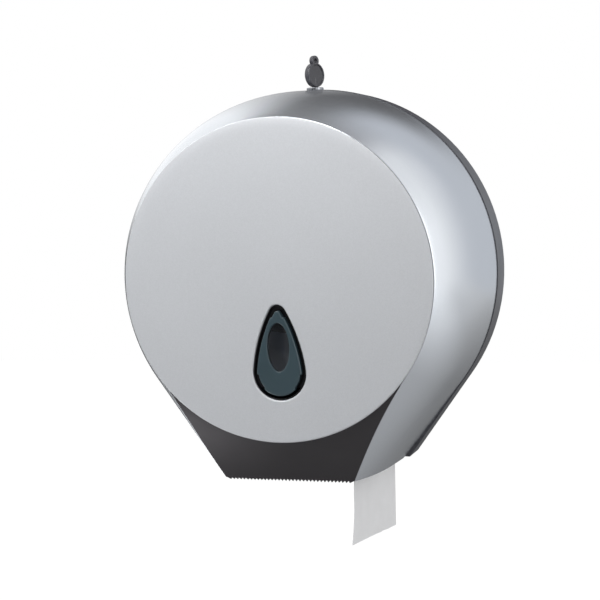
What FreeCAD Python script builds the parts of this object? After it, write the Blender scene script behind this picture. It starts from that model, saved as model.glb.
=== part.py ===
import FreeCAD, Part
import Sketcher
import math
import os
import re

# Wall dispenser for jumbo toilet rolls. Millimetres. X runs right as one faces it,
# Y runs into the wall, Z runs up. The origin is on the wall, on the roll's axis.
# A depth is a distance out from the wall, so it lies at minus Y.

Vector = FreeCAD.Vector
Rotation = FreeCAD.Rotation

SIZES = (
    # back plate and the outline of the case, which stands round the roll
    ("roll_room", 36.2),
    ("foot_half", 65.8),
    ("foot_below", 4.8),
    ("plate_floor", 3.0),
    ("rim_wall", 4.6),
    ("rim_depth", 26.0),
    ("sill_depth", 10.0),
    ("lip_depth", 3.5),
    ("lip_gap", 0.5),
    ("lip_end_drop", 60.0),
    ("seam_gap", 0.3),
    ("slot_spacing_across", 150.0),
    ("slot_spacing_up", 110.0),
    ("slot_radius", 2.6),
    ("slot_length", 12.0),
    # cover shell
    ("cover_step", 0.5),
    ("foot_step", 3.1),
    ("front_room", 20.1),
    ("shell_wall", 2.4),
    ("nose_drop", 23.7),
    ("draft_share", 0.25),
    ("nose_power_share", 4.0),
    ("foot_follow_share", 0.97),
    ("relief_height", 17.0),
    ("relief_depth", 5.3),
    ("drum_inset", 3.0),
    ("cut_overrun", 8.0),
    # chin
    ("chin_drop", 13.4),
    ("chin_start", 70.0),
    ("chin_top", 72.0),
    ("chin_gap", 0.15),
    ("land_width", 9.0),
    ("land_wall", 2.0),
    ("tooth_pitch", 2.65),
    ("tooth_height", 1.6),
    ("tooth_margin", 1.2),
    ("chin_screw_rise_high", 49.0),
    ("chin_screw_rise_low", 21.0),
    ("chin_screw_inset", 6.3),
    # front disc
    ("disc_gap", 0.8),
    ("disc_edge", 2.2),
    ("disc_dome", 1.5),
    ("disc_round", 0.9),
    ("disc_boss_radius", 4.0),
    ("disc_boss_place", 66.0),
    ("boss_gap", 0.3),
    # window
    ("window_shift", 2.0),
    ("window_top", 22.5),
    ("window_base", 63.0),
    ("window_base_radius", 19.3),
    ("window_top_radius", 6.5),
    ("window_side_radius", 111.0),
    ("window_gap", 0.2),
    ("frame_wall", 0.9),
    ("frame_channel", 2.2),
    ("frame_ledge", 3.0),
    ("frame_floor", 1.5),
    ("frame_flange", 2.0),
    ("frame_recess", 0.5),
    ("bezel_rise", 4.0),
    ("bezel_round", 1.0),
    ("pane_centre", 45.4),
    ("pane_half_width", 8.0),
    ("pane_half_height", 16.8),
    ("pane_wall", 1.6),
    ("pane_setback", 1.2),
    ("seat_gap", 0.15),
    # hinge
    ("hinge_depth", 22.0),
    ("hinge_rise", 6.0),
    ("hinge_eye_radius", 4.3),
    ("hinge_inset", 9.3),
    ("lug_wall", 2.4),
    ("ear_wall", 3.0),
    ("ear_gap", 0.3),
    ("ear_root_start", 10.0),
    ("ear_root_length", 18.0),
    ("pin_radius", 2.0),
    ("pin_gap", 0.05),
    ("pin_head_radius", 3.3),
    ("pin_head", 1.5),
    # lock
    ("lock_depth", 19.5),
    ("housing_radius", 5.0),
    ("housing_length", 11.0),
    ("housing_gap", 0.15),
    ("collar_radius", 6.4),
    ("collar_height", 2.0),
    ("nut_width", 14.0),
    ("nut_height", 3.0),
    ("nut_drop", 0.25),
    ("rotor_radius", 3.4),
    ("rotor_gap", 0.06),
    ("rotor_tail", 3.2),
    ("rotor_foot_radius", 4.0),
    ("rotor_neck_radius", 2.4),
    ("cam_length", 12.6),
    ("cam_width", 5.6),
    ("cam_wall", 2.0),
    ("cam_eye_radius", 3.4),
    ("cam_screw_radius", 1.2),
    ("cam_screw_head_radius", 3.1),
    ("cam_screw_head_height", 1.2),
    ("cam_screw_length", 4.0),
    ("keyway_depth", 9.0),
    # strike plate
    ("strike_wall", 1.6),
    ("strike_drop", 9.7),
    ("strike_front", 31.0),
    ("strike_seat", 11.0),
    ("strike_half_width", 13.0),
    ("strike_tongue_width", 7.5),
    ("strike_tongue_reach", 19.0),
    ("peg_radius", 2.0),
    ("peg_length", 6.6),
    ("peg_place", 10.4),
    ("peg_setback", 2.6),
    ("strike_screw_place", 7.5),
    # key
    ("shank_radius", 1.5),
    ("shank_length", 8.4),
    ("bow_radius", 9.0),
    ("bow_wall", 4.6),
    ("bow_recess", 0.9),
    ("bow_rim", 1.3),
    ("bow_rise", 0.5),
    ("key_neck_radius", 2.7),
    ("key_turn", 67.0),
    ("eyelet_radius", 3.5),
    ("eyelet_hole", 1.6),
    ("eyelet_wall", 3.4),
    ("eyelet_rise", 2.0),
    # spindle
    ("post_radius", 15.0),
    ("post_bore", 12.0),
    ("post_front_wall", 9.0),
    ("flange_radius", 30.0),
    ("flange_wall", 3.0),
    ("shoulder_radius", 18.0),
    ("shoulder_wall", 2.7),
    ("flange_screw_place", 24.0),
    ("spindle_cap_radius", 21.0),
    ("spindle_cap_wall", 4.0),
    ("run_gap", 0.08),
    ("end_gap", 0.3),
    ("adapter_sleeve_wall", 3.4),
    ("adapter_flange_radius", 46.0),
    ("adapter_flange_wall", 2.8),
    ("fin_wall", 2.4),
    ("fin_length", 30.0),
    ("core_fit_gap", 0.3),
    # roll
    ("core_radius", 38.0),
    ("core_wall", 1.5),
    ("roll_radius", 100.0),
    ("roll_width", 88.0),
    ("wrap_gap", 0.1),
    ("tail_wall", 0.8),
    ("tail_gap", 0.3),
    ("tail_bend_rise", 12.0),
    ("tail_inset", 15.2),
    ("tail_twist", 7.8),
    ("tail_sway_front", 3.6),
    ("tail_sway_back", 1.2),
    ("tail_below_front", 47.6),
    ("tail_below_back", 56.0),
    ("tail_bend_radius", 60.0),
    # screws
    ("screw_radius", 1.5),
    ("screw_head_radius", 3.4),
    ("screw_head_height", 2.0),
    ("screw_gap", 0.05),
    ("screw_bite", 3.6),
    ("chin_screw_bite", 1.7),
    ("washer_head_radius", 6.6),
    ("cap_screw_radius", 2.4),
    ("cap_screw_head_radius", 4.2),
    ("cap_screw_bite", 6.0),
)

doc = FreeCAD.newDocument("jumbo_roll_dispenser")
sheet = doc.addObject("Spreadsheet::Sheet", "Sizes")
for row, (alias, value) in enumerate(SIZES, start=1):
    sheet.set("A%d" % row, alias.replace("_", " "))
    sheet.set("B%d" % row, str(value))
    sheet.setAlias("B%d" % row, alias)
doc.recompute()

# Lengths that follow from the sizes, as expressions over names. Each can be used as a size's name is.
DERIVED = {
    "plate_radius": "roll_radius + roll_room",
    "foot_drop": "plate_radius + foot_below",
    "rim_inner": "plate_radius - rim_wall",
    "hinge_drop": "foot_drop - hinge_rise",
    "hinge_place": "foot_half - hinge_inset",
    "shoulder_front": "plate_floor + flange_wall + shoulder_wall",
    "adapter_rear": "shoulder_front + end_gap",
    "roll_rear": "adapter_rear + adapter_flange_wall + end_gap",
    "adapter_front": "roll_rear + roll_width",
    "post_front": "adapter_front + end_gap",
    "cap_front": "post_front + spindle_cap_wall",
    "shell_depth": "cap_front + screw_head_height + front_room",
    "cover_radius": "plate_radius - cover_step",
    "cover_foot": "foot_half - foot_step",
    "cover_rear": "rim_depth + seam_gap",
    "disc_radius": "cover_radius - nose_drop",
    "drum_radius": "disc_radius - drum_inset",
    "drum_front": "shell_depth + disc_gap",
    "disc_front": "drum_front + disc_edge",
    "disc_ball": "(disc_radius^2 + disc_dome^2) / (2 * disc_dome)",
    "chin_reach": "foot_drop - chin_start",
    "chin_radius": "(chin_reach^2 + chin_drop^2) / (2 * chin_drop)",
    "chin_centre": "shell_depth - chin_radius",
    "chin_screw_high": "foot_drop - chin_screw_rise_high",
    "chin_screw_low": "foot_drop - chin_screw_rise_low",
    "frame_rear": "drum_front - frame_flange",
    "bezel_rear": "frame_rear + frame_floor",
    "lock_top": "plate_radius + collar_height",
    "rotor_foot": "plate_radius - housing_length - rotor_tail",
    "strike_top": "cover_radius - strike_drop",
    "tail_bend_drop": "foot_drop - tail_bend_rise",
    "tail_bend_back": "foot_half - tail_inset",
    "tail_bend_front": "tail_bend_back - tail_twist",
    "tail_end_back": "tail_bend_back - tail_sway_back",
    "tail_end_front": "tail_bend_front - tail_sway_front",
    "tail_drop_front": "foot_drop + tail_below_front",
    "tail_drop_back": "foot_drop + tail_below_back",
}

UPWARD = Rotation()
FORWARD = Rotation(Vector(1, 0, 0), 90)
BACKWARD = Rotation(Vector(1, 0, 0), -90)
DOWNWARD = Rotation(Vector(1, 0, 0), 180)
ACROSS = Rotation(Vector(0, 1, 0), 90)

# The way a screw's head faces: its turn, the coordinate it lies along and the sign back to its tip.
SCREW_WAYS = {
    "forward": (FORWARD, "depth", "-"),
    "backward": (BACKWARD, "depth", "+"),
    "downward": (DOWNWARD, "height", "+"),
}
DISC_ANGLES = (35, 145, 215, 325)
FLANGE_ANGLES = (90, 210, 330)
STATION_SHARES = (0, 0.2, 0.38, 0.54, 0.68, 0.79, 0.88, 0.95, 1)
TOUCH = 0.01
NAMED = re.compile(r"[a-z]+(?:_[a-z]+)+")
pieces = []


def cell(found):
    name = found.group(0)
    return "(%s)" % bound(DERIVED[name]) if name in DERIVED else "Sizes." + name


def bound(text):
    """The expression with each name pointing at its cell, and derived lengths written out."""
    return NAMED.sub(cell, text)


def size(text):
    """The value of an expression now, in millimetres or as a plain number."""
    return float(sheet.evalExpression(bound(text)))


def keep(item, label):
    """Mark an object as a finished piece, under the name of its file."""
    item.Label = label
    pieces.append(item)
    return item


def place(item, across="0", depth="0", height="0", turn=UPWARD):
    item.Placement = FreeCAD.Placement(Vector(), turn)
    item.setExpression("Placement.Base.x", bound(across))
    item.setExpression("Placement.Base.y", bound("-(%s)" % depth))
    item.setExpression("Placement.Base.z", bound(height))
    return item


def cylinder(name, radius, length, **where):
    item = doc.addObject("Part::Cylinder", name)
    item.setExpression("Radius", bound(radius))
    item.setExpression("Height", bound(length))
    return place(item, **where)


def box(name, width, thickness, tall, **where):
    """A block from its corner: width along X, thickness along Y, tall along Z."""
    item = doc.addObject("Part::Box", name)
    item.setExpression("Length", bound(width))
    item.setExpression("Width", bound(thickness))
    item.setExpression("Height", bound(tall))
    return place(item, **where)


def fuse(name, *items):
    item = doc.addObject("Part::MultiFuse", name)
    item.Shapes = list(items)
    item.Refine = True
    return item


def common(name, *items):
    item = doc.addObject("Part::MultiCommon", name)
    item.Shapes = list(items)
    return item


def cut(name, base, *tools):
    item = doc.addObject("Part::Cut", name)
    item.Base = base
    item.Tool = tools[0] if len(tools) == 1 else group(name + "_tools", *tools)
    return item


def group(name, *items):
    item = doc.addObject("Part::Compound", name)
    item.Links = list(items)
    return item


def formed(name, shape):
    item = doc.addObject("Part::Feature", name)
    item.Shape = shape
    return item


def rounded(name, base, radius, chosen):
    """A fillet of the edges that chosen picks."""
    doc.recompute()
    item = doc.addObject("Part::Fillet", name)
    item.Base = base
    amount = size(radius)
    edges = [n for n, edge in enumerate(base.Shape.Edges, start=1) if chosen(edge)]
    item.Edges = [(n, amount, amount) for n in edges]
    return item


def screw(name, radius, bite, head_radius, facing="forward", **where):
    """A screw whose head starts at the place given and whose shank runs back from it."""
    turn, way, sign = SCREW_WAYS[facing]
    head = cylinder(name + "_head", head_radius, "screw_head_height", turn=turn, **where)
    tip = dict(where)
    tip[way] = "%s %s (%s)" % (where.get(way, "0"), sign, bite)
    shank = cylinder(name + "_shank", radius, bite + " + screw_head_height", turn=turn, **tip)
    return fuse(name, head, shank)


# The outline of the case: a circle whose two lower tangents run to the foot's corners.

def tangent_angle(radius, foot):
    drop = size("foot_drop")
    reach = math.hypot(foot, drop)
    return math.acos(radius / reach) - math.atan2(drop, foot)


def case_outline(radius, foot, inset, depth, below):
    """The closed outline at a depth, set in by inset and cut off below the foot by below."""
    lean = tangent_angle(radius, foot)
    inner = radius - inset
    bottom = size("foot_drop") + below
    foot_x = (inner + bottom * math.sin(lean)) / math.cos(lean)

    def at(angle):
        return Vector(inner * math.cos(angle), -depth, inner * math.sin(angle))

    sweep = math.pi - 2 * lean
    arcs = 4
    edges = []
    for step in range(arcs):
        start, middle, end = (lean + sweep * (step + part) / arcs for part in (0, 0.5, 1))
        edges.append(Part.Arc(at(start), at(middle), at(end)).toShape())
    right = Vector(foot_x, -depth, -bottom)
    left = Vector(-foot_x, -depth, -bottom)
    edges.append(Part.makeLine(at(lean + sweep), left))
    edges.append(Part.makeLine(left, right))
    edges.append(Part.makeLine(right, at(lean)))
    return Part.Wire(edges)


def case_slab(inset, start, end, below=0.0):
    """The plate's outline, set in by inset, from one depth to another."""
    wire = case_outline(size("plate_radius"), size("foot_half"), inset, start, below)
    return Part.Face(wire).extrude(Vector(0, start - end, 0))


def cover_drop(depth):
    """How far the cover has drawn in at a depth: a steady draft, then the round of the nose."""
    start = size("cover_rear")
    share = max(0.0, (depth - start) / (size("shell_depth") - start))
    draft = size("draft_share")
    return size("nose_drop") * (draft * share + (1 - draft) * share ** size("nose_power_share"))


def cover_section(depth, inset, below):
    drop = cover_drop(depth)
    radius = size("cover_radius") - drop
    foot = size("cover_foot") - size("foot_follow_share") * drop
    return case_outline(radius, foot, inset, depth, below)


def cover_form(inset, start, end, below):
    wires = [cover_section(start + share * (end - start), inset, below) for share in STATION_SHARES]
    return Part.makeLoft(wires, True, False)


def chin_drum(name, wall):
    """The long cylinder across the case whose surface is the chin, less a wall."""
    return cylinder(name, "chin_radius - " + wall, "4 * foot_half", turn=ACROSS,
                    across="-2 * foot_half", depth="chin_centre", height="-chin_start")


def chin_front(name, wall):
    """All that lies before the chin's surface, to be cut away."""
    block = box(name + "_block", "4 * foot_half", "shell_depth", "chin_reach + 2 * cut_overrun",
                across="-2 * foot_half", depth="shell_depth + shell_depth / 2",
                height="-foot_drop - 2 * cut_overrun")
    return cut(name, block, chin_drum(name + "_drum", wall))


def outer_form(name, loft):
    trimmed = cut(name + "_trimmed", loft, chin_front(name + "_chin", "0"))
    drum = cylinder(name + "_drum", "drum_radius", "drum_front - shell_depth + 2 * cut_overrun",
                    turn=FORWARD, depth="shell_depth - 2 * cut_overrun")
    return fuse(name, trimmed, drum)


def inner_form(name):
    wall = size("shell_wall")
    start = size("cover_rear") - size("cut_overrun")
    loft = formed(name + "_loft", cover_form(wall, start, size("shell_depth") - wall, size("cut_overrun")))
    trimmed = cut(name + "_trimmed", loft, chin_front(name + "_chin", "shell_wall"))
    drum = cylinder(name + "_drum", "drum_radius - shell_wall",
                    "drum_front - shell_depth + 2 * cut_overrun", turn=FORWARD,
                    depth="shell_depth - 2 * cut_overrun - shell_wall")
    return fuse(name, trimmed, drum)


def teardrop(offset, start, end):
    """A drop-shaped block: two circles joined by long side arcs, each moved out by offset."""
    low = Vector(size("window_shift"), -start, -size("window_base"))
    high = Vector(size("window_shift"), -start, -size("window_top"))
    low_radius = size("window_base_radius") + offset
    high_radius = size("window_top_radius") + offset
    side = size("window_side_radius") + offset
    span = high.z - low.z
    near, far = side - low_radius, side - high_radius
    rise = (span ** 2 + near ** 2 - far ** 2) / (2 * span)
    away = math.sqrt(near ** 2 - rise ** 2)

    def on(centre, angle, radius, hand):
        return centre + Vector(hand * radius * math.cos(angle), 0, radius * math.sin(angle))

    low_angle = math.atan2(-rise, away)
    high_angle = math.atan2(span - rise, away)
    middle = (low_angle + high_angle) / 2
    edges = []
    for hand in (1, -1):
        centre = low + Vector(-hand * away, 0, rise)
        ends = [on(low, low_angle, low_radius, hand), on(high, high_angle, high_radius, hand)]
        edges.append(Part.Arc(ends[0], on(centre, middle, side, hand), ends[1]).toShape())
    top = [on(high, high_angle, high_radius, hand) for hand in (1, -1)]
    base = [on(low, low_angle, low_radius, hand) for hand in (1, -1)]
    edges.append(Part.Arc(top[0], high + Vector(0, 0, high_radius), top[1]).toShape())
    edges.append(Part.Arc(base[0], low - Vector(0, 0, low_radius), base[1]).toShape())
    wire = Part.Wire(Part.__sortEdges__(edges))
    return Part.Face(wire).extrude(Vector(0, start - end, 0))


def oval(inset, start, end):
    """The window's clear oval, set in by inset."""
    centre = Vector(size("window_shift"), -start, -size("pane_centre"))
    tall = size("pane_half_height") - inset
    wide = size("pane_half_width") - inset
    ellipse = Part.Ellipse(centre + Vector(0, 0, tall), centre + Vector(wide, 0, 0), centre)
    return Part.Face(Part.Wire([ellipse.toShape()])).extrude(Vector(0, start - end, 0))


# Back plate

def slot(name, across, height):
    half = "slot_length / 2 - slot_radius"
    ends = [
        cylinder(name + "_end_%d" % n, "slot_radius", "plate_floor + 2 * cut_overrun", turn=FORWARD,
                 across="%s + %d * (%s)" % (across, hand, half), depth="-cut_overrun", height=height)
        for n, hand in enumerate((-1, 1))
    ]
    middle = box(name + "_middle", "2 * (%s)" % half, "plate_floor + 2 * cut_overrun",
                 "2 * slot_radius", across="%s - (%s)" % (across, half),
                 depth="plate_floor + cut_overrun", height="%s - slot_radius" % height)
    return fuse(name, middle, *ends)


def hinge_lug(name, hand):
    start = "hinge_place - ear_gap - lug_wall" if hand > 0 else "-(hinge_place - ear_gap)"
    eye = cylinder(name + "_eye", "hinge_eye_radius", "lug_wall", turn=ACROSS, across=start,
                   depth="hinge_depth", height="-hinge_drop")
    arm = box(name + "_arm", "lug_wall", "hinge_depth", "2 * hinge_eye_radius", across=start,
              depth="hinge_depth", height="-hinge_drop - hinge_eye_radius")
    return fuse(name, eye, arm)


def back_plate():
    floor = formed("plate_block", case_slab(0, 0, size("rim_depth")))
    hollow = formed("plate_hollow", case_slab(size("rim_wall"), size("plate_floor"),
                                              size("rim_depth") + size("cut_overrun"),
                                              size("cut_overrun")))
    sill = box("plate_sill", "2 * foot_half", "sill_depth", "rim_wall", across="-foot_half",
               depth="sill_depth", height="-foot_drop")
    sill_trim = common("plate_sill_trimmed", sill, floor)
    lip_out = size("cover_step") + size("shell_wall") + size("lip_gap")
    lip_end = size("rim_depth") + size("lip_depth")
    lip = formed("plate_lip_block", case_slab(lip_out, size("rim_depth") - size("lip_depth"), lip_end))
    lip_hollow = formed("plate_lip_hollow", case_slab(size("rim_wall"), size("plate_floor"),
                                                      lip_end + size("cut_overrun"),
                                                      size("cut_overrun")))
    lip_foot = box("plate_lip_foot", "4 * foot_half", "2 * rim_depth", "foot_drop",
                   across="-2 * foot_half", depth="2 * rim_depth", height="-foot_drop - lip_end_drop")
    lip_ring = cut("plate_lip", lip, lip_hollow, lip_foot)
    shell = cut("plate_shell", floor, hollow)
    lugs = [hinge_lug("plate_lug_%d" % n, hand) for n, hand in enumerate((-1, 1))]
    solid = fuse("plate_solid", shell, sill_trim, lip_ring, *lugs)
    slots = [
        slot("plate_slot_%d%d" % (i, j), "%d * slot_spacing_across / 2" % i,
             "%d * slot_spacing_up / 2" % j)
        for i in (-1, 1) for j in (-1, 1)
    ]
    lock_hole = cylinder("plate_lock_hole", "housing_radius + housing_gap", "rim_wall + 2 * cut_overrun",
                         depth="lock_depth", height="rim_inner - cut_overrun")
    pin_hole = cylinder("plate_pin_hole", "pin_radius + pin_gap", "2 * hinge_place", turn=ACROSS,
                        across="-hinge_place", depth="hinge_depth", height="-hinge_drop")
    screw_holes = [
        cylinder("plate_screw_hole_%d" % n, "screw_radius + screw_gap", "plate_floor + cut_overrun",
                 turn=FORWARD, across="flange_screw_place * cos(%d)" % angle, depth="-cut_overrun / 2",
                 height="flange_screw_place * sin(%d)" % angle)
        for n, angle in enumerate(FLANGE_ANGLES)
    ]
    keep(cut("plate_cut", solid, lock_hole, pin_hole, *slots, *screw_holes), "back_plate")


# Cover

def cover_ear(name, hand, outer):
    start = "hinge_place" if hand > 0 else "-hinge_place - ear_wall"
    reach = "ear_root_start + ear_root_length"
    eye = cylinder(name + "_eye", "hinge_eye_radius", "ear_wall", turn=ACROSS, across=start,
                   depth="hinge_depth", height="-hinge_drop")
    arm = box(name + "_arm", "ear_wall", reach, "2 * hinge_eye_radius", across=start,
              depth="hinge_depth + " + reach, height="-hinge_drop - hinge_eye_radius")
    root = box(name + "_root", "4 * ear_wall", "ear_root_length", "2 * hinge_eye_radius",
               across=start if hand > 0 else "-hinge_place - 4 * ear_wall",
               depth="hinge_depth + " + reach, height="-hinge_drop - hinge_eye_radius")
    return fuse(name, eye, arm, common(name + "_root_trimmed", root, outer))


def relief_wedge():
    """The cover's lower rear corners slope away from the plate, to clear it as the cover drops."""
    drop, rear = size("foot_drop"), size("cover_rear")
    low = -drop - size("cut_overrun")
    high = -drop + size("relief_height")
    front = rear + size("relief_depth")
    spread = 2 * size("foot_half")
    points = [(rear, high), (front, -drop), (front, low), (0, low), (0, high)]
    wire = Part.makePolygon([Vector(-spread, -depth, z) for depth, z in points + points[:1]])
    return formed("relief_wedge", Part.Face(wire).extrude(Vector(2 * spread, 0, 0)))


def chin_shell(name, outside, inside, top):
    """A curved band across the case between two offsets of the chin's surface."""
    ring = cut(name + "_ring", chin_drum(name + "_outside", outside), chin_drum(name + "_inside", inside))
    low = box(name + "_low", "4 * foot_half", "shell_depth", "foot_drop - (%s) + cut_overrun" % top,
              across="-2 * foot_half", depth="shell_depth + cut_overrun",
              height="-foot_drop - cut_overrun")
    return common(name, ring, low)


def chin_screw_places():
    """Each chin screw stands on the chin's slope, in from the edge of the flare."""
    places = []
    radius = size("chin_radius")
    for drop in (size("chin_screw_high"), size("chin_screw_low")):
        slope = math.asin((drop - size("chin_start")) / radius)
        depth = size("chin_centre") + radius * math.cos(slope)
        drawn = cover_drop(depth)
        foot = size("cover_foot") - size("foot_follow_share") * drawn
        edge = size("cover_radius") - drawn
        lean = tangent_angle(edge, foot)
        across = (edge + drop * math.sin(lean)) / math.cos(lean)
        across -= (size("shell_wall") + size("chin_screw_inset")) / math.cos(lean)
        places += [(hand * across, slope) for hand in (-1, 1)]
    return places


def chin_line(across, slope, from_surface, length, radius):
    """A cylinder square to the chin's slope, from a distance under its surface towards it."""
    centre = Vector(across, -size("chin_centre"), -size("chin_start"))
    outward = Vector(0, -math.cos(slope), -math.sin(slope))
    start = centre + outward * (size("chin_radius") - from_surface)
    return Part.makeCylinder(radius, length, start, outward)


def cover_shell(loft, outer, inner):
    wall = cut("cover_wall", outer, inner)
    chin_seat = chin_shell("chin_seat", "(-cut_overrun)", "(shell_wall + chin_gap)", "(chin_top - chin_gap)")
    drum_guard = cylinder("drum_guard", "drum_radius", "2 * cut_overrun + shell_depth", turn=FORWARD,
                          depth="shell_depth / 2")
    opened = cut("cover_opened", wall, cut("chin_seat_open", chin_seat, drum_guard))
    land_band = chin_shell("land_band", "(shell_wall + chin_gap)", "(shell_wall + chin_gap + land_wall)",
                           "(chin_top + land_wall)")
    land_void = formed("land_void", cover_form(size("land_width"), size("cover_rear") - size("cut_overrun"),
                                               size("shell_depth") + size("cut_overrun"),
                                               size("cut_overrun")))
    land = cut("land", common("land_full", land_band, loft), land_void)
    ears = [cover_ear("cover_ear_%d" % n, hand, outer) for n, hand in enumerate((-1, 1))]
    pad = box("strike_pad", "2 * strike_half_width", "strike_seat", "strike_drop",
              across="-strike_half_width", depth="strike_front + strike_seat", height="strike_top")
    pad_trim = common("strike_pad_trimmed", pad, outer)
    whole = fuse("cover_whole", opened, land, pad_trim)
    relieved = cut("cover_relieved", whole, relief_wedge())
    eared = fuse("cover_eared", relieved, *ears)
    window = formed("cover_window", teardrop(size("frame_flange") + size("window_gap"),
                                             size("shell_depth") / 2, 2 * size("shell_depth")))
    bosses = [
        cylinder("cover_boss_hole_%d" % n, "disc_boss_radius + boss_gap", "shell_depth", turn=FORWARD,
                 across="disc_boss_place * cos(%d)" % angle, depth="shell_depth - 2 * cut_overrun",
                 height="disc_boss_place * sin(%d)" % angle)
        for n, angle in enumerate(DISC_ANGLES)
    ]
    pin_hole = cylinder("cover_pin_hole", "pin_radius + pin_gap", "4 * hinge_place", turn=ACROSS,
                        across="-2 * hinge_place", depth="hinge_depth", height="-hinge_drop")
    strike_holes = [
        cylinder("pad_hole_%d" % n, "screw_radius + screw_gap", "screw_bite + strike_wall",
                 across="%d * strike_screw_place" % hand, depth="strike_front + strike_seat / 2",
                 height="strike_top")
        for n, hand in enumerate((-1, 1))
    ]
    bore = size("screw_radius") + size("screw_gap")
    deep = size("shell_wall") + size("land_wall") + size("cut_overrun")
    chin_holes = formed("land_holes", Part.makeCompound([
        chin_line(across, slope, deep, deep, bore) for across, slope in chin_screw_places()
    ]))
    keep(cut("cover_cut", eared, window, pin_hole, chin_holes, *bosses, *strike_holes), "cover_shell")


def front_disc():
    blank = cylinder("disc_blank", "disc_radius", "disc_edge + disc_dome", turn=FORWARD, depth="drum_front")
    ball = doc.addObject("Part::Sphere", "disc_ball")
    ball.setExpression("Radius", bound("disc_ball"))
    place(ball, depth="disc_front + disc_dome - disc_ball")
    domed = common("disc_domed", blank, ball)
    front = size("disc_front")
    radius = size("disc_radius")

    def outer_edge(edge):
        point = edge.Vertexes[0].Point
        return abs(math.hypot(point.x, point.z) - radius) < TOUCH and abs(point.y + front) < TOUCH

    soft = rounded("disc_soft", domed, "disc_round", outer_edge)
    bosses = [
        cylinder("disc_boss_%d" % n, "disc_boss_radius", "shell_wall - boss_gap + disc_edge / 2",
                 turn=FORWARD, across="disc_boss_place * cos(%d)" % angle,
                 depth="drum_front - shell_wall + boss_gap",
                 height="disc_boss_place * sin(%d)" % angle)
        for n, angle in enumerate(DISC_ANGLES)
    ]
    solid = fuse("disc_solid", soft, *bosses)
    window = formed("disc_window", teardrop(0, size("shell_depth") / 2, 2 * size("shell_depth")))
    holes = [
        cylinder("disc_screw_hole_%d" % n, "screw_radius + screw_gap", "screw_bite + screw_gap",
                 turn=FORWARD, across="disc_boss_place * cos(%d)" % angle,
                 depth="drum_front - shell_wall", height="disc_boss_place * sin(%d)" % angle)
        for n, angle in enumerate(DISC_ANGLES)
    ]
    keep(cut("disc_cut", solid, window, *holes), "front_disc")


def disc_screws():
    screws = [
        screw("disc_screw_%d" % n, "screw_radius", "screw_bite", "washer_head_radius",
              facing="backward", across="disc_boss_place * cos(%d)" % angle,
              depth="drum_front - shell_wall", height="disc_boss_place * sin(%d)" % angle)
        for n, angle in enumerate(DISC_ANGLES)
    ]
    keep(group("disc_screw_set", *screws), "disc_screws")


def tooth_comb():
    """The gaps between the teeth along the chin's lower edge, one notch to each pitch."""
    pitch, tall = size("tooth_pitch"), size("tooth_height")
    depth = size("shell_depth")
    drop = size("foot_drop")
    drawn = cover_drop(depth - size("chin_drop"))
    reach = size("cover_foot") - size("foot_follow_share") * drawn - size("tooth_margin")
    count = int(reach / pitch)
    notches = []
    for n in range(-count, count):
        left, right = n * pitch, (n + 1) * pitch
        corners = [(left, -drop), ((left + right) / 2, -drop + tall), (right, -drop)]
        points = [Vector(x, -depth / 2, z) for x, z in corners]
        wire = Part.makePolygon(points + points[:1])
        notches.append(Part.Face(wire).extrude(Vector(0, -depth, 0)))
    return Part.makeCompound(notches)


def chin_panel(loft):
    band = chin_shell("chin_band", "0", "shell_wall", "chin_top")
    full = common("chin_full", band, loft)
    drum = cylinder("chin_drum_gap", "drum_radius + chin_gap", "shell_depth", turn=FORWARD,
                    depth="shell_depth / 2")
    comb = formed("chin_comb", tooth_comb())
    bore = size("screw_radius") + size("screw_gap")
    deep = size("shell_wall")
    holes = formed("chin_holes", Part.makeCompound([
        chin_line(across, slope, deep + size("chin_gap"), size("chin_screw_bite") + size("chin_gap"), bore)
        for across, slope in chin_screw_places()
    ]))
    keep(cut("chin_cut", full, drum, comb, holes), "chin_panel")


def chin_screws():
    solids = []
    under = size("shell_wall") + size("chin_gap") + size("land_wall")
    for across, slope in chin_screw_places():
        head = size("screw_head_height")
        seat = under + size("seat_gap")
        shank = seat - size("shell_wall") + size("chin_screw_bite")
        solids.append(chin_line(across, slope, seat + head, head, size("screw_head_radius")).fuse(
            chin_line(across, slope, seat + head, head + shank, size("screw_radius"))))
    keep(formed("chin_screw_set", Part.makeCompound(solids)), "chin_screws")


# Window

def window_frame():
    inner = -size("window_gap") - size("frame_wall")
    front = size("disc_front") - size("frame_recess")
    rear = size("frame_rear")
    floor = size("bezel_rear")
    flange = formed("frame_flange_block", teardrop(size("frame_flange"), rear, size("drum_front")))
    sleeve = formed("frame_sleeve", teardrop(-size("window_gap"), rear, front))
    channel = formed("frame_channel_cut", teardrop(inner, floor, front + size("cut_overrun")))
    ledge = inner - size("frame_channel") - size("frame_ledge")
    opening = formed("frame_opening", teardrop(ledge, rear - size("cut_overrun"),
                                               front + size("cut_overrun")))
    keep(cut("frame_cut", fuse("frame_solid", flange, sleeve), channel, opening), "window_frame")


def window_bezel():
    outline = -size("window_gap") - size("frame_wall") - size("frame_channel")
    rear = size("bezel_rear")
    front = rear + size("bezel_rise")
    block = formed("bezel_block", teardrop(outline, rear, front))
    soft = rounded("bezel_soft", block, "bezel_round",
                   lambda edge: all(abs(v.Point.y + front) < TOUCH for v in edge.Vertexes))
    hole = formed("bezel_hole", oval(0, rear - size("cut_overrun"), front + size("cut_overrun")))
    keep(cut("bezel_cut", soft, hole), "window_bezel")


def window_pane():
    front = size("bezel_rear") + size("bezel_rise") - size("pane_setback")
    keep(formed("pane", oval(size("seat_gap"), front - size("pane_wall"), front)), "window_pane")


# Hinge pins

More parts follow.
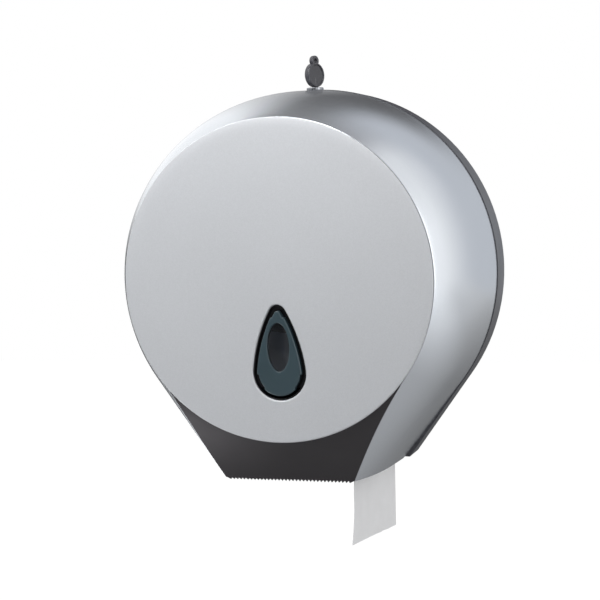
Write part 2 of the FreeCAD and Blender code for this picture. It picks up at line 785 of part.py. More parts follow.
def hinge_pins():
    pins = []
    for n, hand in enumerate((-1, 1)):
        inner = "(hinge_place - ear_gap - lug_wall)"
        shank_length = "lug_wall + ear_gap + ear_wall"
        start = inner if hand > 0 else "-(%s + %s)" % (inner, shank_length)
        shank = cylinder("pin_shank_%d" % n, "pin_radius", shank_length, turn=ACROSS, across=start,
                         depth="hinge_depth", height="-hinge_drop")
        head_start = inner + " - pin_head" if hand > 0 else "-" + inner
        head = cylinder("pin_head_%d" % n, "pin_head_radius", "pin_head", turn=ACROSS, across=head_start,
                        depth="hinge_depth", height="-hinge_drop")
        pins.append(fuse("pin_%d" % n, shank, head))
    keep(group("pin_pair", *pins), "hinge_pins")


# Lock

def lock_housing():
    tube = cylinder("housing_tube", "housing_radius", "housing_length + collar_height",
                    depth="lock_depth", height="plate_radius - housing_length")
    bore = cylinder("housing_bore", "rotor_radius + rotor_gap", "housing_length + 2 * cut_overrun",
                    depth="lock_depth", height="plate_radius - housing_length - cut_overrun / 2")
    keep(cut("housing_cut", tube, bore), "lock_housing")


def lock_collar():
    ring = cylinder("collar_ring", "collar_radius", "collar_height", depth="lock_depth",
                    height="plate_radius")
    soft = rounded("collar_soft", ring, "collar_height / 3",
                   lambda edge: edge.Vertexes[0].Point.z > size("plate_radius + collar_height / 2")
                   and edge.Curve.TypeId == "Part::GeomCircle")
    bore = cylinder("collar_bore", "housing_radius + screw_gap", "collar_height + 2 * cut_overrun",
                    depth="lock_depth", height="plate_radius - cut_overrun")
    keep(cut("collar_cut", soft, bore), "lock_collar")


def lock_nut():
    prism = doc.addObject("Part::Prism", "nut_prism")
    prism.Polygon = 6
    prism.setExpression("Circumradius", bound("nut_width / sqrt(3)"))
    prism.setExpression("Height", bound("nut_height"))
    place(prism, depth="lock_depth", height="rim_inner - nut_drop - nut_height")
    bore = cylinder("nut_bore", "housing_radius + screw_gap", "nut_height + 2 * cut_overrun",
                    depth="lock_depth", height="rim_inner - nut_height - cut_overrun")
    keep(cut("nut_cut", prism, bore), "lock_nut")


def lock_rotor():
    plug = cylinder("rotor_plug", "rotor_radius", "lock_top - rotor_foot",
                    depth="lock_depth", height="rotor_foot")
    foot = cylinder("rotor_foot", "rotor_foot_radius", "rotor_tail - cam_wall - end_gap",
                    depth="lock_depth", height="rotor_foot + cam_wall")
    keyway = cylinder("rotor_keyway", "shank_radius + run_gap", "keyway_depth + cut_overrun",
                      depth="lock_depth", height="lock_top - keyway_depth")
    step = cylinder("rotor_step", "rotor_radius + cut_overrun", "cam_wall", depth="lock_depth",
                    height="rotor_foot")
    neck = cylinder("rotor_neck", "rotor_neck_radius", "cam_wall", depth="lock_depth", height="rotor_foot")
    tap = cylinder("rotor_tap", "cam_screw_radius + screw_gap", "cam_screw_length", depth="lock_depth",
                   height="rotor_foot")
    stepped = cut("rotor_stepped", fuse("rotor_whole", plug, foot), cut("rotor_step_ring", step, neck))
    keep(cut("rotor_cut", stepped, keyway, tap), "lock_rotor")


def lock_cam():
    """The arm that holds the strike plate's peg; at rest it points away from the wall, clear of it."""
    eye = cylinder("cam_eye", "cam_eye_radius", "cam_wall", depth="lock_depth",
                   height="rotor_foot")
    tip = cylinder("cam_tip", "cam_width / 2", "cam_wall", height="rotor_foot",
                   depth="lock_depth + cam_length - cam_width / 2")
    arm = box("cam_arm", "cam_width", "cam_length - cam_width / 2", "cam_wall", across="-cam_width / 2",
              depth="lock_depth + cam_length - cam_width / 2", height="rotor_foot")
    bore = cylinder("cam_bore", "rotor_neck_radius + screw_gap", "cam_wall + 2 * cut_overrun",
                    depth="lock_depth", height="rotor_foot - cut_overrun")
    keep(cut("cam_cut", fuse("cam_solid", eye, tip, arm), bore), "lock_cam")


def cam_screw():
    head = cylinder("cam_screw_cap", "cam_screw_head_radius", "cam_screw_head_height",
                    depth="lock_depth", height="rotor_foot - cam_screw_head_height")
    shank = cylinder("cam_screw_stem", "cam_screw_radius", "cam_screw_length - screw_gap",
                     depth="lock_depth", height="rotor_foot")
    keep(fuse("cam_screw_solid", head, shank), "cam_screw")


# Strike plate, under the cover's crown

def strike_plate():
    seat = box("strike_seat_plate", "2 * strike_half_width", "strike_seat", "strike_wall",
               across="-strike_half_width", depth="strike_front + strike_seat",
               height="strike_top - strike_wall")
    tongue = box("strike_tongue", "strike_tongue_width", "strike_tongue_reach + strike_wall", "strike_wall",
                 across="-peg_place - strike_tongue_width / 2", depth="strike_front + strike_wall",
                 height="strike_top - strike_wall")
    peg = cylinder("strike_peg", "peg_radius", "peg_length + strike_wall", across="-peg_place",
                   depth="strike_front - strike_tongue_reach + peg_setback",
                   height="strike_top - strike_wall - peg_length")
    holes = [
        cylinder("strike_hole_%d" % n, "screw_radius + screw_gap", "strike_wall + 2 * cut_overrun",
                 across="%d * strike_screw_place" % hand, depth="strike_front + strike_seat / 2",
                 height="strike_top - strike_wall - cut_overrun")
        for n, hand in enumerate((-1, 1))
    ]
    keep(cut("strike_cut", fuse("strike_solid", seat, tongue, peg), *holes), "strike_plate")


def strike_screws():
    screws = [
        screw("strike_screw_%d" % n, "screw_radius", "screw_bite", "screw_head_radius",
              facing="downward", across="%d * strike_screw_place" % hand,
              depth="strike_front + strike_seat / 2", height="strike_top - strike_wall")
        for n, hand in enumerate((-1, 1))
    ]
    keep(group("strike_screw_pair", *screws), "strike_screws")


# Key, modelled upright on the lock's axis and then turned with it

def key_shank():
    keep(cylinder("shank", "shank_radius", "shank_length + bow_rise", depth="lock_depth",
                  height="lock_top - shank_length"), "key_shank")


def key_bow():
    middle = "lock_top + bow_rise + bow_radius"
    disc = cylinder("bow_disc", "bow_radius", "bow_wall", turn=FORWARD, depth="-bow_wall / 2",
                    height=middle)
    neck = cylinder("bow_neck", "key_neck_radius", "bow_rise + bow_radius - bow_recess",
                    height="lock_top + bow_rise")
    eye_height = middle + " + bow_radius + eyelet_rise"
    eyelet = cylinder("bow_eyelet", "eyelet_radius", "eyelet_wall", turn=FORWARD,
                      depth="-eyelet_wall / 2", height=eye_height)
    eye_hole = cylinder("bow_eyelet_hole", "eyelet_hole", "bow_wall", turn=FORWARD,
                        depth="-bow_wall / 2", height=eye_height)
    recesses = [
        cylinder("bow_recess_%d" % n, "bow_radius - bow_rim", "bow_recess", turn=FORWARD, depth=start,
                 height=middle)
        for n, start in enumerate(("bow_wall / 2 - bow_recess", "-bow_wall / 2"))
    ]
    solid = cut("bow_cut", fuse("bow_solid", disc, neck, eyelet), eye_hole, *recesses)
    solid.Placement = FreeCAD.Placement(Vector(), Rotation(Vector(0, 0, 1), size("key_turn")))
    solid.setExpression("Placement.Base.y", bound("-lock_depth"))
    keep(solid, "key_bow")


# Spindle

def spindle_post():
    flange = cylinder("post_flange", "flange_radius", "flange_wall", turn=FORWARD, depth="plate_floor")
    shoulder = cylinder("post_shoulder", "shoulder_radius", "shoulder_front - plate_floor",
                        turn=FORWARD, depth="plate_floor")
    tube = cylinder("post_tube", "post_radius", "post_front - plate_floor", turn=FORWARD,
                    depth="plate_floor")
    bore = cylinder("post_bore_cut", "post_bore", "post_front - plate_floor - post_front_wall",
                    turn=FORWARD, depth="plate_floor")
    tap = cylinder("post_tap", "cap_screw_radius + screw_gap", "post_front_wall + 2 * cut_overrun",
                   turn=FORWARD, depth="post_front - post_front_wall - cut_overrun")
    holes = [
        cylinder("post_hole_%d" % n, "screw_radius + screw_gap", "flange_wall + 2 * cut_overrun",
                 turn=FORWARD, across="flange_screw_place * cos(%d)" % angle, depth="0",
                 height="flange_screw_place * sin(%d)" % angle)
        for n, angle in enumerate(FLANGE_ANGLES)
    ]
    keep(cut("post_cut", fuse("post_solid", flange, shoulder, tube), bore, tap, *holes), "spindle_post")


def spindle_screws():
    screws = [
        screw("spindle_screw_%d" % n, "screw_radius", "flange_wall + plate_floor / 2",
              "screw_head_radius", across="flange_screw_place * cos(%d)" % angle,
              depth="plate_floor + flange_wall", height="flange_screw_place * sin(%d)" % angle)
        for n, angle in enumerate(FLANGE_ANGLES)
    ]
    keep(group("spindle_screw_set", *screws), "spindle_screws")


def spindle_cap():
    disc = cylinder("cap_disc", "spindle_cap_radius", "spindle_cap_wall", turn=FORWARD, depth="post_front")
    front = size("cap_front")
    soft = rounded("cap_soft", disc, "spindle_cap_wall / 3",
                   lambda edge: all(abs(v.Point.y + front) < TOUCH for v in edge.Vertexes))
    hole = cylinder("cap_hole", "cap_screw_radius + screw_gap", "spindle_cap_wall + 2 * cut_overrun",
                    turn=FORWARD, depth="post_front - cut_overrun")
    keep(cut("cap_cut", soft, hole), "spindle_cap")


def spindle_cap_screw():
    keep(screw("cap_screw", "cap_screw_radius", "spindle_cap_wall + cap_screw_bite",
               "cap_screw_head_radius", depth="cap_front"), "spindle_cap_screw")


# Core adapter, a turned hub with four fins inside the core, made as one body

def origin_plane(body, role):
    return next(item for item in body.Origin.OriginFeatures if item.Role == role)


def sketch_facing(body, name, depth):
    """A sketch parallel to the wall, at a depth, whose pads grow out from the wall."""
    sketch = body.newObject("Sketcher::SketchObject", name)
    sketch.AttachmentSupport = [(origin_plane(body, "XZ_Plane"), "")]
    sketch.MapMode = "FlatFace"
    sketch.setExpression("AttachmentOffset.Base.z", bound(depth))
    return sketch


def ring_sketch(body, name, depth, *radii):
    sketch = sketch_facing(body, name, depth)
    for n, radius in enumerate(radii):
        circle = sketch.addGeometry(Part.Circle(Vector(), Vector(0, 0, 1), size(radius)), False)
        sketch.addConstraint(Sketcher.Constraint("Coincident", circle, 3, -1, 1))
        datum = sketch.addConstraint(Sketcher.Constraint("Radius", circle, size(radius)))
        sketch.renameConstraint(datum, "ring_%d" % n)
        sketch.setExpression("Constraints.ring_%d" % n, bound(radius))
    return sketch


def pad(body, name, sketch, length):
    item = body.newObject("PartDesign::Pad", name)
    item.Profile = sketch
    item.setExpression("Length", bound(length))
    return item


def core_adapter():
    body = doc.addObject("PartDesign::Body", "adapter")
    bore = "post_radius + run_gap"
    sleeve = "post_radius + run_gap + adapter_sleeve_wall"
    front = "adapter_front - adapter_rear"
    pad(body, "adapter_flange", ring_sketch(body, "flange_rings", "adapter_rear", "adapter_flange_radius",
                                            bore), "adapter_flange_wall")
    pad(body, "adapter_sleeve", ring_sketch(body, "sleeve_rings", "adapter_rear", sleeve, bore), front)
    sketch = sketch_facing(body, "fin_outline", "adapter_rear")
    inner = "post_radius + run_gap + adapter_sleeve_wall / 2"
    outer = "core_radius - core_fit_gap"
    half = "fin_wall / 2"
    corners = [(inner, "-" + half), (outer, "-" + half), (outer, half), (inner, half)]
    points = [Vector(size(a), size(b), 0) for a, b in corners]
    for n in range(4):
        sketch.addGeometry(Part.LineSegment(points[n], points[(n + 1) % 4]), False)
    for n in range(4):
        sketch.addConstraint(Sketcher.Constraint("Coincident", n, 2, (n + 1) % 4, 1))
    for n, (a, b) in enumerate(corners):
        for kind, text in (("DistanceX", a), ("DistanceY", b)):
            if n in (0, 2):
                name = "%s_%d" % (kind.lower(), n)
                datum = sketch.addConstraint(Sketcher.Constraint(kind, -1, 1, n, 1, size(text)))
                sketch.renameConstraint(datum, name)
                sketch.setExpression("Constraints." + name, bound(text))
    for n, way in enumerate(("Horizontal", "Vertical", "Horizontal", "Vertical")):
        sketch.addConstraint(Sketcher.Constraint(way, n))
    fin = pad(body, "adapter_fin", sketch, "fin_length")
    doc.recompute()
    pattern = body.newObject("PartDesign::PolarPattern", "adapter_fins")
    pattern.Originals = [fin]
    pattern.Axis = (origin_plane(body, "Y_Axis"), [""])
    pattern.Angle = 360
    pattern.Occurrences = 4
    body.Tip = pattern
    keep(body, "core_adapter")


# Roll

def roll_core():
    outer = cylinder("core_outer", "core_radius + core_wall", "roll_width", turn=FORWARD, depth="roll_rear")
    bore = cylinder("core_bore", "core_radius", "roll_width + 2 * cut_overrun", turn=FORWARD,
                    depth="roll_rear - cut_overrun")
    keep(cut("core_cut", outer, bore), "roll_core")


def paper_roll():
    outer = cylinder("paper_outer", "roll_radius", "roll_width", turn=FORWARD, depth="roll_rear")
    bore = cylinder("paper_bore", "core_radius + core_wall + wrap_gap", "roll_width + 2 * cut_overrun",
                    turn=FORWARD, depth="roll_rear - cut_overrun")
    keep(cut("paper_cut", outer, bore), "paper_roll")


def tail_outline(depth, bend_across, end_across, end_drop):
    """The sheet's edge, seen along the roll: off the roll, round one bend and straight down."""
    half = size("tail_wall") / 2
    reach = size("roll_radius") + size("tail_gap") + half
    bend = Vector(bend_across, 0, -size("tail_bend_drop"))
    off = math.atan2(bend.z, bend.x) + math.acos(reach / bend.Length)
    start = Vector(reach * math.cos(off), 0, reach * math.sin(off))
    end = Vector(end_across, 0, -end_drop)
    into = (bend - start).normalize()
    out = (end - bend).normalize()
    turn = into.getAngle(out)
    radius = size("tail_bend_radius")
    trim = radius * math.tan(turn / 2)
    hand = 1 if into.cross(out).y > 0 else -1

    def side(offset):
        beside = [Vector(d.z, 0, -d.x) * offset for d in (into, out)]
        first = bend - into * trim + beside[0]
        last = bend + out * trim + beside[1]
        centre = bend - into * trim + Vector(into.z, 0, -into.x) * (-hand * radius)
        middle = centre + ((first - centre) + (last - centre)).normalize() * (first - centre).Length
        return start + beside[0], first, middle, last, end + beside[1]

    level = Vector(0, -depth, 0)
    near = [point + level for point in side(half)]
    far = [point + level for point in side(-half)]
    edges = [Part.makeLine(near[0], near[1]), Part.Arc(near[1], near[2], near[3]).toShape(),
             Part.makeLine(near[3], near[4]), Part.makeLine(near[4], far[4]),
             Part.makeLine(far[4], far[3]), Part.Arc(far[3], far[2], far[1]).toShape(),
             Part.makeLine(far[1], far[0]), Part.makeLine(far[0], near[0])]
    return Part.Wire(edges)


def paper_tail():
    rear = size("roll_rear")
    back = tail_outline(rear, size("tail_bend_back"), size("tail_end_back"), size("tail_drop_back"))
    front = tail_outline(rear + size("roll_width"), size("tail_bend_front"), size("tail_end_front"),
                         size("tail_drop_front"))
    keep(formed("tail", Part.makeLoft([back, front], True, True)), "paper_tail")


def build():
    loft = formed("cover_loft", cover_form(0, size("cover_rear"), size("shell_depth"), 0))
    outer = outer_form("cover_outer", loft)
    inner = inner_form("cover_inner")
    back_plate()
    cover_shell(loft, outer, inner)
    front_disc()
    disc_screws()
    chin_panel(loft)
    chin_screws()
    window_frame()
    window_bezel()
    window_pane()
    hinge_pins()
    lock_housing()
    lock_collar()
    lock_nut()
    lock_rotor()
    lock_cam()
    cam_screw()
    strike_plate()
    strike_screws()
    key_shank()
    key_bow()
    spindle_post()
    spindle_screws()
    spindle_cap()
    spindle_cap_screw()
    core_adapter()
    roll_core()
    paper_roll()
    paper_tail()
    doc.recompute()


def check():
    for item in doc.Objects:
        if "Invalid" in item.State or "Error" in item.State:
            raise RuntimeError("%s did not build" % item.Name)
    for piece in pieces:
        if piece.Shape.isNull() or not piece.Shape.isValid():
            raise RuntimeError("%s has no sound shape" % piece.Label)


def write():
    os.makedirs("parts", exist_ok=True)
    for piece in pieces:
        piece.Shape.exportStep(os.path.join("parts", piece.Label + ".step"))
        solids = piece.Shape.Solids
        volume = sum(solid.Volume for solid in solids)
        print("%-18s %2d solid(s) %10.1f mm3" % (piece.Label, len(solids), volume))


build()
check()
write()
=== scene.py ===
import math

import bmesh
import bpy
from mathutils import Matrix, Vector, noise


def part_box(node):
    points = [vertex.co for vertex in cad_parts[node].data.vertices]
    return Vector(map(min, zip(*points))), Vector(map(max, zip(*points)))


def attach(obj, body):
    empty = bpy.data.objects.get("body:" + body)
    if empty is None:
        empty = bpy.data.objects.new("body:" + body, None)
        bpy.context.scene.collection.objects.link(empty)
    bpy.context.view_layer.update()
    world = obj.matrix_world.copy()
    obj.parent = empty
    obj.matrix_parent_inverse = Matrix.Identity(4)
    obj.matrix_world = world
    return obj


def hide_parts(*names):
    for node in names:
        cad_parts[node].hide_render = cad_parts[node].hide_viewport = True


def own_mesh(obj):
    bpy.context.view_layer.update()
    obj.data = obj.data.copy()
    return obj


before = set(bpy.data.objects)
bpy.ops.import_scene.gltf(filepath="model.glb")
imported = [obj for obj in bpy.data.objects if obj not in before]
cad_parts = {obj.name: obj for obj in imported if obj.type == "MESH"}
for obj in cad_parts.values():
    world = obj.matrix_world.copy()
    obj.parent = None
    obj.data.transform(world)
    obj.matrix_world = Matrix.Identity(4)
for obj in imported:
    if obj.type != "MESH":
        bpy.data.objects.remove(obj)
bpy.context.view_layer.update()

bl_info = {
    "name": "Jumbo Roll Dispenser",
    "version": (1, 0, 0),
    "blender": (4, 5, 0),
    "location": "3D View > Sidebar > Dispenser",
    "description": "Dresses the dispenser's fixed frame with its finished pieces",
    "category": "Object",
}

# X runs right as one faces the dispenser, Y into the wall, Z up. A depth is a distance out from
# the wall. Sizes are in metres, and mm() writes one in millimetres.


def mm(value):
    return value * 0.001


def length(name, value, words):
    return bpy.props.FloatProperty(name=name, description=words, default=mm(value), subtype="DISTANCE",
                                   unit="LENGTH", precision=5)


def colour(name, value, words):
    return bpy.props.FloatVectorProperty(name=name, description=words, default=value, subtype="COLOR",
                                         size=3, min=0, max=1)


def number(name, value, words):
    return bpy.props.FloatProperty(name=name, description=words, default=value)


class DispenserSizes(bpy.types.PropertyGroup):
    """Lengths of the case and what it holds."""

    cover_radius: length("Cover radius", 135.7, "Radius of the cover at its rear edge")
    cover_foot: length("Cover foot", 62.7, "Half width of the cover's foot at its rear edge")
    foot_drop: length("Foot drop", 141, "How far the foot lies below the roll's axis")
    cover_rear: length("Cover rear", 26.3, "Depth of the cover's rear edge")
    cover_front: length("Cover front", 126.5, "Depth of the cover's front edge")
    cover_wall: length("Cover wall", 2.4, "Thickness of the cover")
    nose_drop: length("Nose drop", 23.7, "How far the cover draws in from rear to front")
    draft: number("Draft", 0.25, "Share of the drawing in that is a steady slope")
    nose_power: number("Nose power", 4.0, "How late the cover's nose turns in")
    foot_follow: number("Foot follow", 0.97, "Share of the drawing in that the foot follows")
    relief_height: length("Relief height", 17, "Height of the sloping rear corners")
    relief_depth: length("Relief depth", 5.3, "How far the rear corners slope forward")
    chin_start: length("Chin start", 70, "Drop at which the chin starts to curve back")
    chin_top: length("Chin top", 72, "Drop of the chin panel's upper corners")
    chin_drop: length("Chin drop", 13.4, "How far the chin has curved back at the foot")
    tooth_pitch: length("Tooth pitch", 2.65, "Distance between two teeth")
    tooth_height: length("Tooth height", 1.6, "Height of a tooth")
    chin_crown: length("Chin crown", 2.2, "How far the chin swells between its sides")
    disc_radius: length("Disc radius", 112, "Radius of the front disc")
    disc_rear: length("Disc rear", 127.3, "Depth of the front disc's back")
    disc_edge: length("Disc edge", 2.2, "Thickness of the front disc at its edge")
    disc_dome: length("Disc dome", 1.5, "How far the front disc swells at its middle")
    drum_radius: length("Drum radius", 109, "Radius of the step behind the front disc")
    window_shift: length("Window shift", 2, "How far the window stands to the right")
    window_top: length("Window top", 22.5, "Drop of the window's small circle")
    window_base: length("Window base", 63, "Drop of the window's large circle")
    window_top_radius: length("Window top radius", 6.5, "Radius of the window's small circle")
    window_base_radius: length("Window base radius", 19.3, "Radius of the window's large circle")
    window_side_radius: length("Window side radius", 111, "Radius of the window's long sides")
    roll_radius: length("Roll radius", 100, "Radius of the paper roll")
    core_radius: length("Core radius", 38, "Inner radius of the cardboard core")
    core_wall: length("Core wall", 1.5, "Thickness of the cardboard core")


class DispenserFinishes(bpy.types.PropertyGroup):
    """Colours of the dispenser's materials."""

    silver: colour("Silver paint", (0.56, 0.575, 0.60), "Front disc")
    satin: colour("Satin cover", (0.60, 0.625, 0.66), "Band of the cover")
    graphite: colour("Graphite", (0.064, 0.060, 0.064), "Chin panel")
    case: colour("Dark case", (0.050, 0.050, 0.058), "Plate against the wall")
    trim: colour("Black trim", (0.003, 0.003, 0.004), "Window frame")
    smoke: colour("Smoked bezel", (0.027, 0.051, 0.063), "Bezel round the window's oval")
    pane: colour("Smoked pane", (0.25, 0.275, 0.32), "Clear oval of the window")
    key: colour("Key", (0.045, 0.045, 0.053), "Bow of the key")
    steel: colour("Steel", (0.55, 0.55, 0.57), "Screws and pins")
    lock: colour("Lock metal", (0.42, 0.42, 0.44), "Lock and strike plate")
    # the chrome's tone is kept dark, well below bright chrome: painted reflection of dark surroundings on
    # the collar
    chrome: colour("Chrome", (0.26, 0.27, 0.29), "Collar of the lock")
    tissue: colour("Tissue", (0.95, 0.953, 0.965), "Paper")
    board: colour("Board", (0.30, 0.24, 0.18), "Cardboard core")
    adapter: colour("Adapter", (0.035, 0.035, 0.040), "Hub that carries the core")


class DispenserStage(bpy.types.PropertyGroup):
    """Camera, lamps and floor."""

    azimuth: number("Azimuth", 18.92, "Camera's angle round the dispenser, in degrees")
    elevation: number("Elevation", 4.70, "Camera's angle above the horizon, in degrees")
    roll: number("Roll", -2.28, "Camera's turn about its own axis, in degrees")
    lens: number("Lens", 78.78, "Focal length in millimetres on a 36 mm sensor")
    distance: length("Distance", 1031.3, "From the camera to its target")
    target_across: length("Target across", -25.46, "Where the camera looks, across")
    target_height: length("Target height", -24.15, "Where the camera looks, in height")
    floor_drop: length("Floor drop", 900, "How far the floor lies below the roll's axis")
    room_light: number("Room light", 0.90, "Brightness of the room round the dispenser")
    key_power: number("Key lamp", 6.45, "Power of the large lamp at the upper left")
    side_power: number("Side lamp", 3.0, "Power of the tall lamp at the right")
    fill_power: number("Fill lamp", 2.0, "Power of the lamp near the camera")


def sizes():
    return bpy.context.scene.dispenser_sizes


def finishes():
    return bpy.context.scene.dispenser_finishes


def staging():
    return bpy.context.scene.dispenser_stage


# Meshes

MERGED = mm(0.002)  # points nearer than this to each other become one
DISSOLVED = mm(0.001)  # edges shorter than this go
MOST_OF_SIDE = 0.49  # share of a profile's side that one softened corner may take
HALVINGS = 40


def crease(mesh, angle):
    """Edges sharper than an angle, in degrees, stay sharp in the shading."""
    work = bmesh.new()
    work.from_mesh(mesh)
    limit = math.radians(angle)
    for edge in work.edges:
        edge.smooth = not (edge.is_manifold and edge.calc_face_angle(0) > limit)
    work.to_mesh(mesh)
    work.free()


def new_piece(name, points, faces, body, slot, material, angle):
    """A mesh object of finished geometry that rides on a body, creased at an angle in degrees."""
    mesh = bpy.data.meshes.new(name)
    mesh.from_pydata([tuple(p) for p in points], [], faces)
    work = bmesh.new()
    work.from_mesh(mesh)
    bmesh.ops.remove_doubles(work, verts=work.verts, dist=MERGED)
    bmesh.ops.dissolve_degenerate(work, edges=work.edges, dist=DISSOLVED)
    bmesh.ops.recalc_face_normals(work, faces=work.faces)
    work.to_mesh(mesh)
    work.free()
    mesh.polygons.foreach_set("use_smooth", [True] * len(mesh.polygons))
    mesh.materials.append(material)
    crease(mesh, angle)
    piece = bpy.data.objects.new(name, mesh)
    bpy.context.scene.collection.objects.link(piece)
    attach(piece, body)
    return piece


def skin(rows, closed_rows=True, closed_way=False, first=0):
    """Faces between rows of points; every row has the same number of points."""
    count = len(rows[0])
    faces = []
    last = len(rows) if closed_way else len(rows) - 1
    for i in range(last):
        here, there = first + i * count, first + ((i + 1) % len(rows)) * count
        for j in range(count if closed_rows else count - 1):
            k = (j + 1) % count
            faces.append((here + j, here + k, there + k, there + j))
    return faces


def skinned(rows, closed_way=False):
    return [p for row in rows for p in row], skin(rows, True, closed_way)


def block(sections):
    """A solid skin over sections of points, closed at both ends."""
    points, faces = skinned(sections)
    count = len(sections[0])
    last = (len(sections) - 1) * count
    faces += [tuple(range(count)), tuple(last + j for j in range(count))]
    return points, faces


def slab(front, back):
    """A solid skin over two sheets of columns, joined round their edges."""
    count = len(front[0])
    shift = len(front) * count
    points = [p for column in front + back for p in column]
    faces = skin(front, False) + skin(back, False, first=shift)
    edges = [(i * count + j, (i + 1) * count + j) for i in range(len(front) - 1) for j in (0, count - 1)]
    edges += [(i * count + j, i * count + j + 1) for i in (0, len(front) - 1) for j in range(count - 1)]
    faces += [(a, b, shift + b, shift + a) for a, b in edges]
    return points, faces


def joined(*parts):
    points, faces = [], []
    for more, sides in parts:
        faces += [tuple(len(points) + n for n in side) for side in sides]
        points += more
    return points, faces


def circle(steps):
    """Cosine and sine of even angles round a full turn."""
    angles = [2 * math.pi * n / steps for n in range(steps)]
    return [(math.cos(angle), math.sin(angle)) for angle in angles]


def quarter(steps):
    """Sine and cosine of even angles over a quarter turn."""
    angles = [math.pi / 2 * n / steps for n in range(steps + 1)]
    return [(math.sin(angle), math.cos(angle)) for angle in angles]


def turned_rows(profile, steps):
    """Rows of a form turned about the roll's axis; profile is (radius, depth)."""
    return [[Vector((r * cosine, -d, r * sine)) for cosine, sine in circle(steps)] for r, d in profile]


def rounded_corner(before, corner, after, radius, steps):
    """Points of a profile's corner, softened with an arc."""
    b, c, a = Vector(before), Vector(corner), Vector(after)
    to_b, to_a = (b - c).normalized(), (a - c).normalized()
    half = to_b.angle(to_a) / 2
    most = [(end - c).length * MOST_OF_SIDE for end in (b, a)]
    reach = min(radius / math.tan(half), *most)
    radius = reach * math.tan(half)
    centre = c + (to_b + to_a).normalized() * (radius / math.sin(half))
    start = (c + to_b * reach - centre).normalized()
    end = (c + to_a * reach - centre).normalized()
    return [tuple(centre + start.slerp(end, n / steps) * radius) for n in range(steps + 1)]


def softened(profile, radii, closed=False, steps=5):
    """A profile with each of its corners softened by its own radius."""
    count = len(profile)
    out = []
    for n, (corner, radius) in enumerate(zip(profile, radii)):
        if radius <= 0 or (not closed and n in (0, count - 1)):
            out.append(tuple(corner))
        else:
            out += rounded_corner(profile[n - 1], corner, profile[(n + 1) % count], radius, steps)
    return out


def halved(low, high, goes_on):
    """Where a condition stops, between a low value at which it holds and a high one."""
    for _ in range(HALVINGS):
        middle = (low + high) / 2
        if goes_on(middle):
            low = middle
        else:
            high = middle
    return low


# The cover's form

def lean_of(radius, foot):
    """Angle above the horizon at which the straight side leaves the cover's arc."""
    drop = sizes().foot_drop
    return math.acos(radius / math.hypot(foot, drop)) - math.atan2(drop, foot)


def cover_at(depth):
    """Radius and foot of the cover at a depth."""
    s = sizes()
    share = min(1.0, max(0.0, (depth - s.cover_rear) / (s.cover_front - s.cover_rear)))
    drawn = s.nose_drop * (s.draft * share + (1 - s.draft) * share ** s.nose_power)
    return s.cover_radius - drawn, s.cover_foot - s.foot_follow * drawn


def outline_spot(depth, inset, side, share):
    """A point of the cover's outline: on the straight run up from the foot at a side of 1 or -1, or on
    the arc at 0. An inset moves it in, and share says how far along the run or arc it lies."""
    radius, foot = cover_at(depth)
    lean = lean_of(radius, foot)
    inner = radius - inset
    drop = sizes().foot_drop
    if side == 0:
        angle = lean + (math.pi - 2 * lean) * share
        return Vector((inner * math.cos(angle), -depth, inner * math.sin(angle)))
    corner = (inner + drop * math.sin(lean)) / math.cos(lean)
    x = corner + (inner * math.cos(lean) - corner) * share
    z = -drop + (inner * math.sin(lean) + drop) * share
    return Vector((side * x, -depth, z))


def flare_across(drop, depth, inset=0.0):
    """Half width of the cover at a height below the axis and a depth."""
    radius, foot = cover_at(depth)
    lean = lean_of(radius, foot)
    inner = radius - inset
    if -drop > inner * math.sin(lean):
        return math.sqrt(max(0.0, inner ** 2 - drop ** 2))
    return (inner + drop * math.sin(lean)) / math.cos(lean)


def chin_depth(z, under=0.0):
    """Depth of the chin's surface at a height, or of a surface that lies under it."""
    s = sizes()
    reach = s.foot_drop - s.chin_start
    radius = (reach ** 2 + s.chin_drop ** 2) / (2 * s.chin_drop)
    below = max(0.0, -s.chin_start - z)
    return s.cover_front - radius + math.sqrt((radius - under) ** 2 - below ** 2)


def front_limit(side, share, inset):
    """Depth at which a line of the cover meets the chin's surface or the cover's front."""
    def is_behind(depth):
        return depth < chin_depth(outline_spot(depth, inset, side, share).z, inset)

    return halved(sizes().cover_rear, sizes().cover_front, is_behind)


def rear_limit(side, share):
    """Depth of the cover's rear edge, which slopes forward at the lower corners."""
    s = sizes()
    z = outline_spot(s.cover_rear, 0, side, share).z
    share = max(0.0, (-s.foot_drop + s.relief_height - z) / s.relief_height)
    return s.cover_rear + s.relief_depth * share


def drop_loop(offset, count=240):
    """Points (x, z) evenly along the window's drop shape, moved out by an offset."""
    s = sizes()
    low, high = -s.window_base, -s.window_top
    low_radius, high_radius = s.window_base_radius + offset, s.window_top_radius + offset
    side = s.window_side_radius + offset
    span = high - low
    near, far = side - low_radius, side - high_radius
    rise = (span ** 2 + near ** 2 - far ** 2) / (2 * span)
    away = math.sqrt(near ** 2 - rise ** 2)
    low_angle = math.atan2(-rise, away)
    high_angle = math.atan2(span - rise, away)
    arcs = [
        (0, high, high_radius, math.pi / 2, high_angle),
        (-away, low + rise, side, high_angle, low_angle),
        (0, low, low_radius, low_angle, -math.pi / 2),
    ]
    steps = 200
    right = []
    for cx, cz, radius, start, end in arcs:
        for n in range(steps):
            angle = start + (end - start) * n / steps
            right.append((cx + radius * math.cos(angle), cz + radius * math.sin(angle)))
    right.append((0, low - low_radius))
    path = right + [(-x, z) for x, z in reversed(right[1:-1])]
    return [(x + s.window_shift, z) for x, z in evenly(path, count)]


def evenly(path, count):
    """Points at even distances along a closed path."""
    path = path + path[:1]
    marks = [0.0]
    for a, b in zip(path, path[1:]):
        marks.append(marks[-1] + math.dist(a, b))
    out = []
    at = 0
    for n in range(count):
        mark = marks[-1] * n / count
        while marks[at + 1] < mark:
            at += 1
        share = (mark - marks[at]) / max(1e-12, marks[at + 1] - marks[at])
        out.append(tuple(a + (b - a) * share for a, b in zip(path[at], path[at + 1])))
    return out


# Node trees

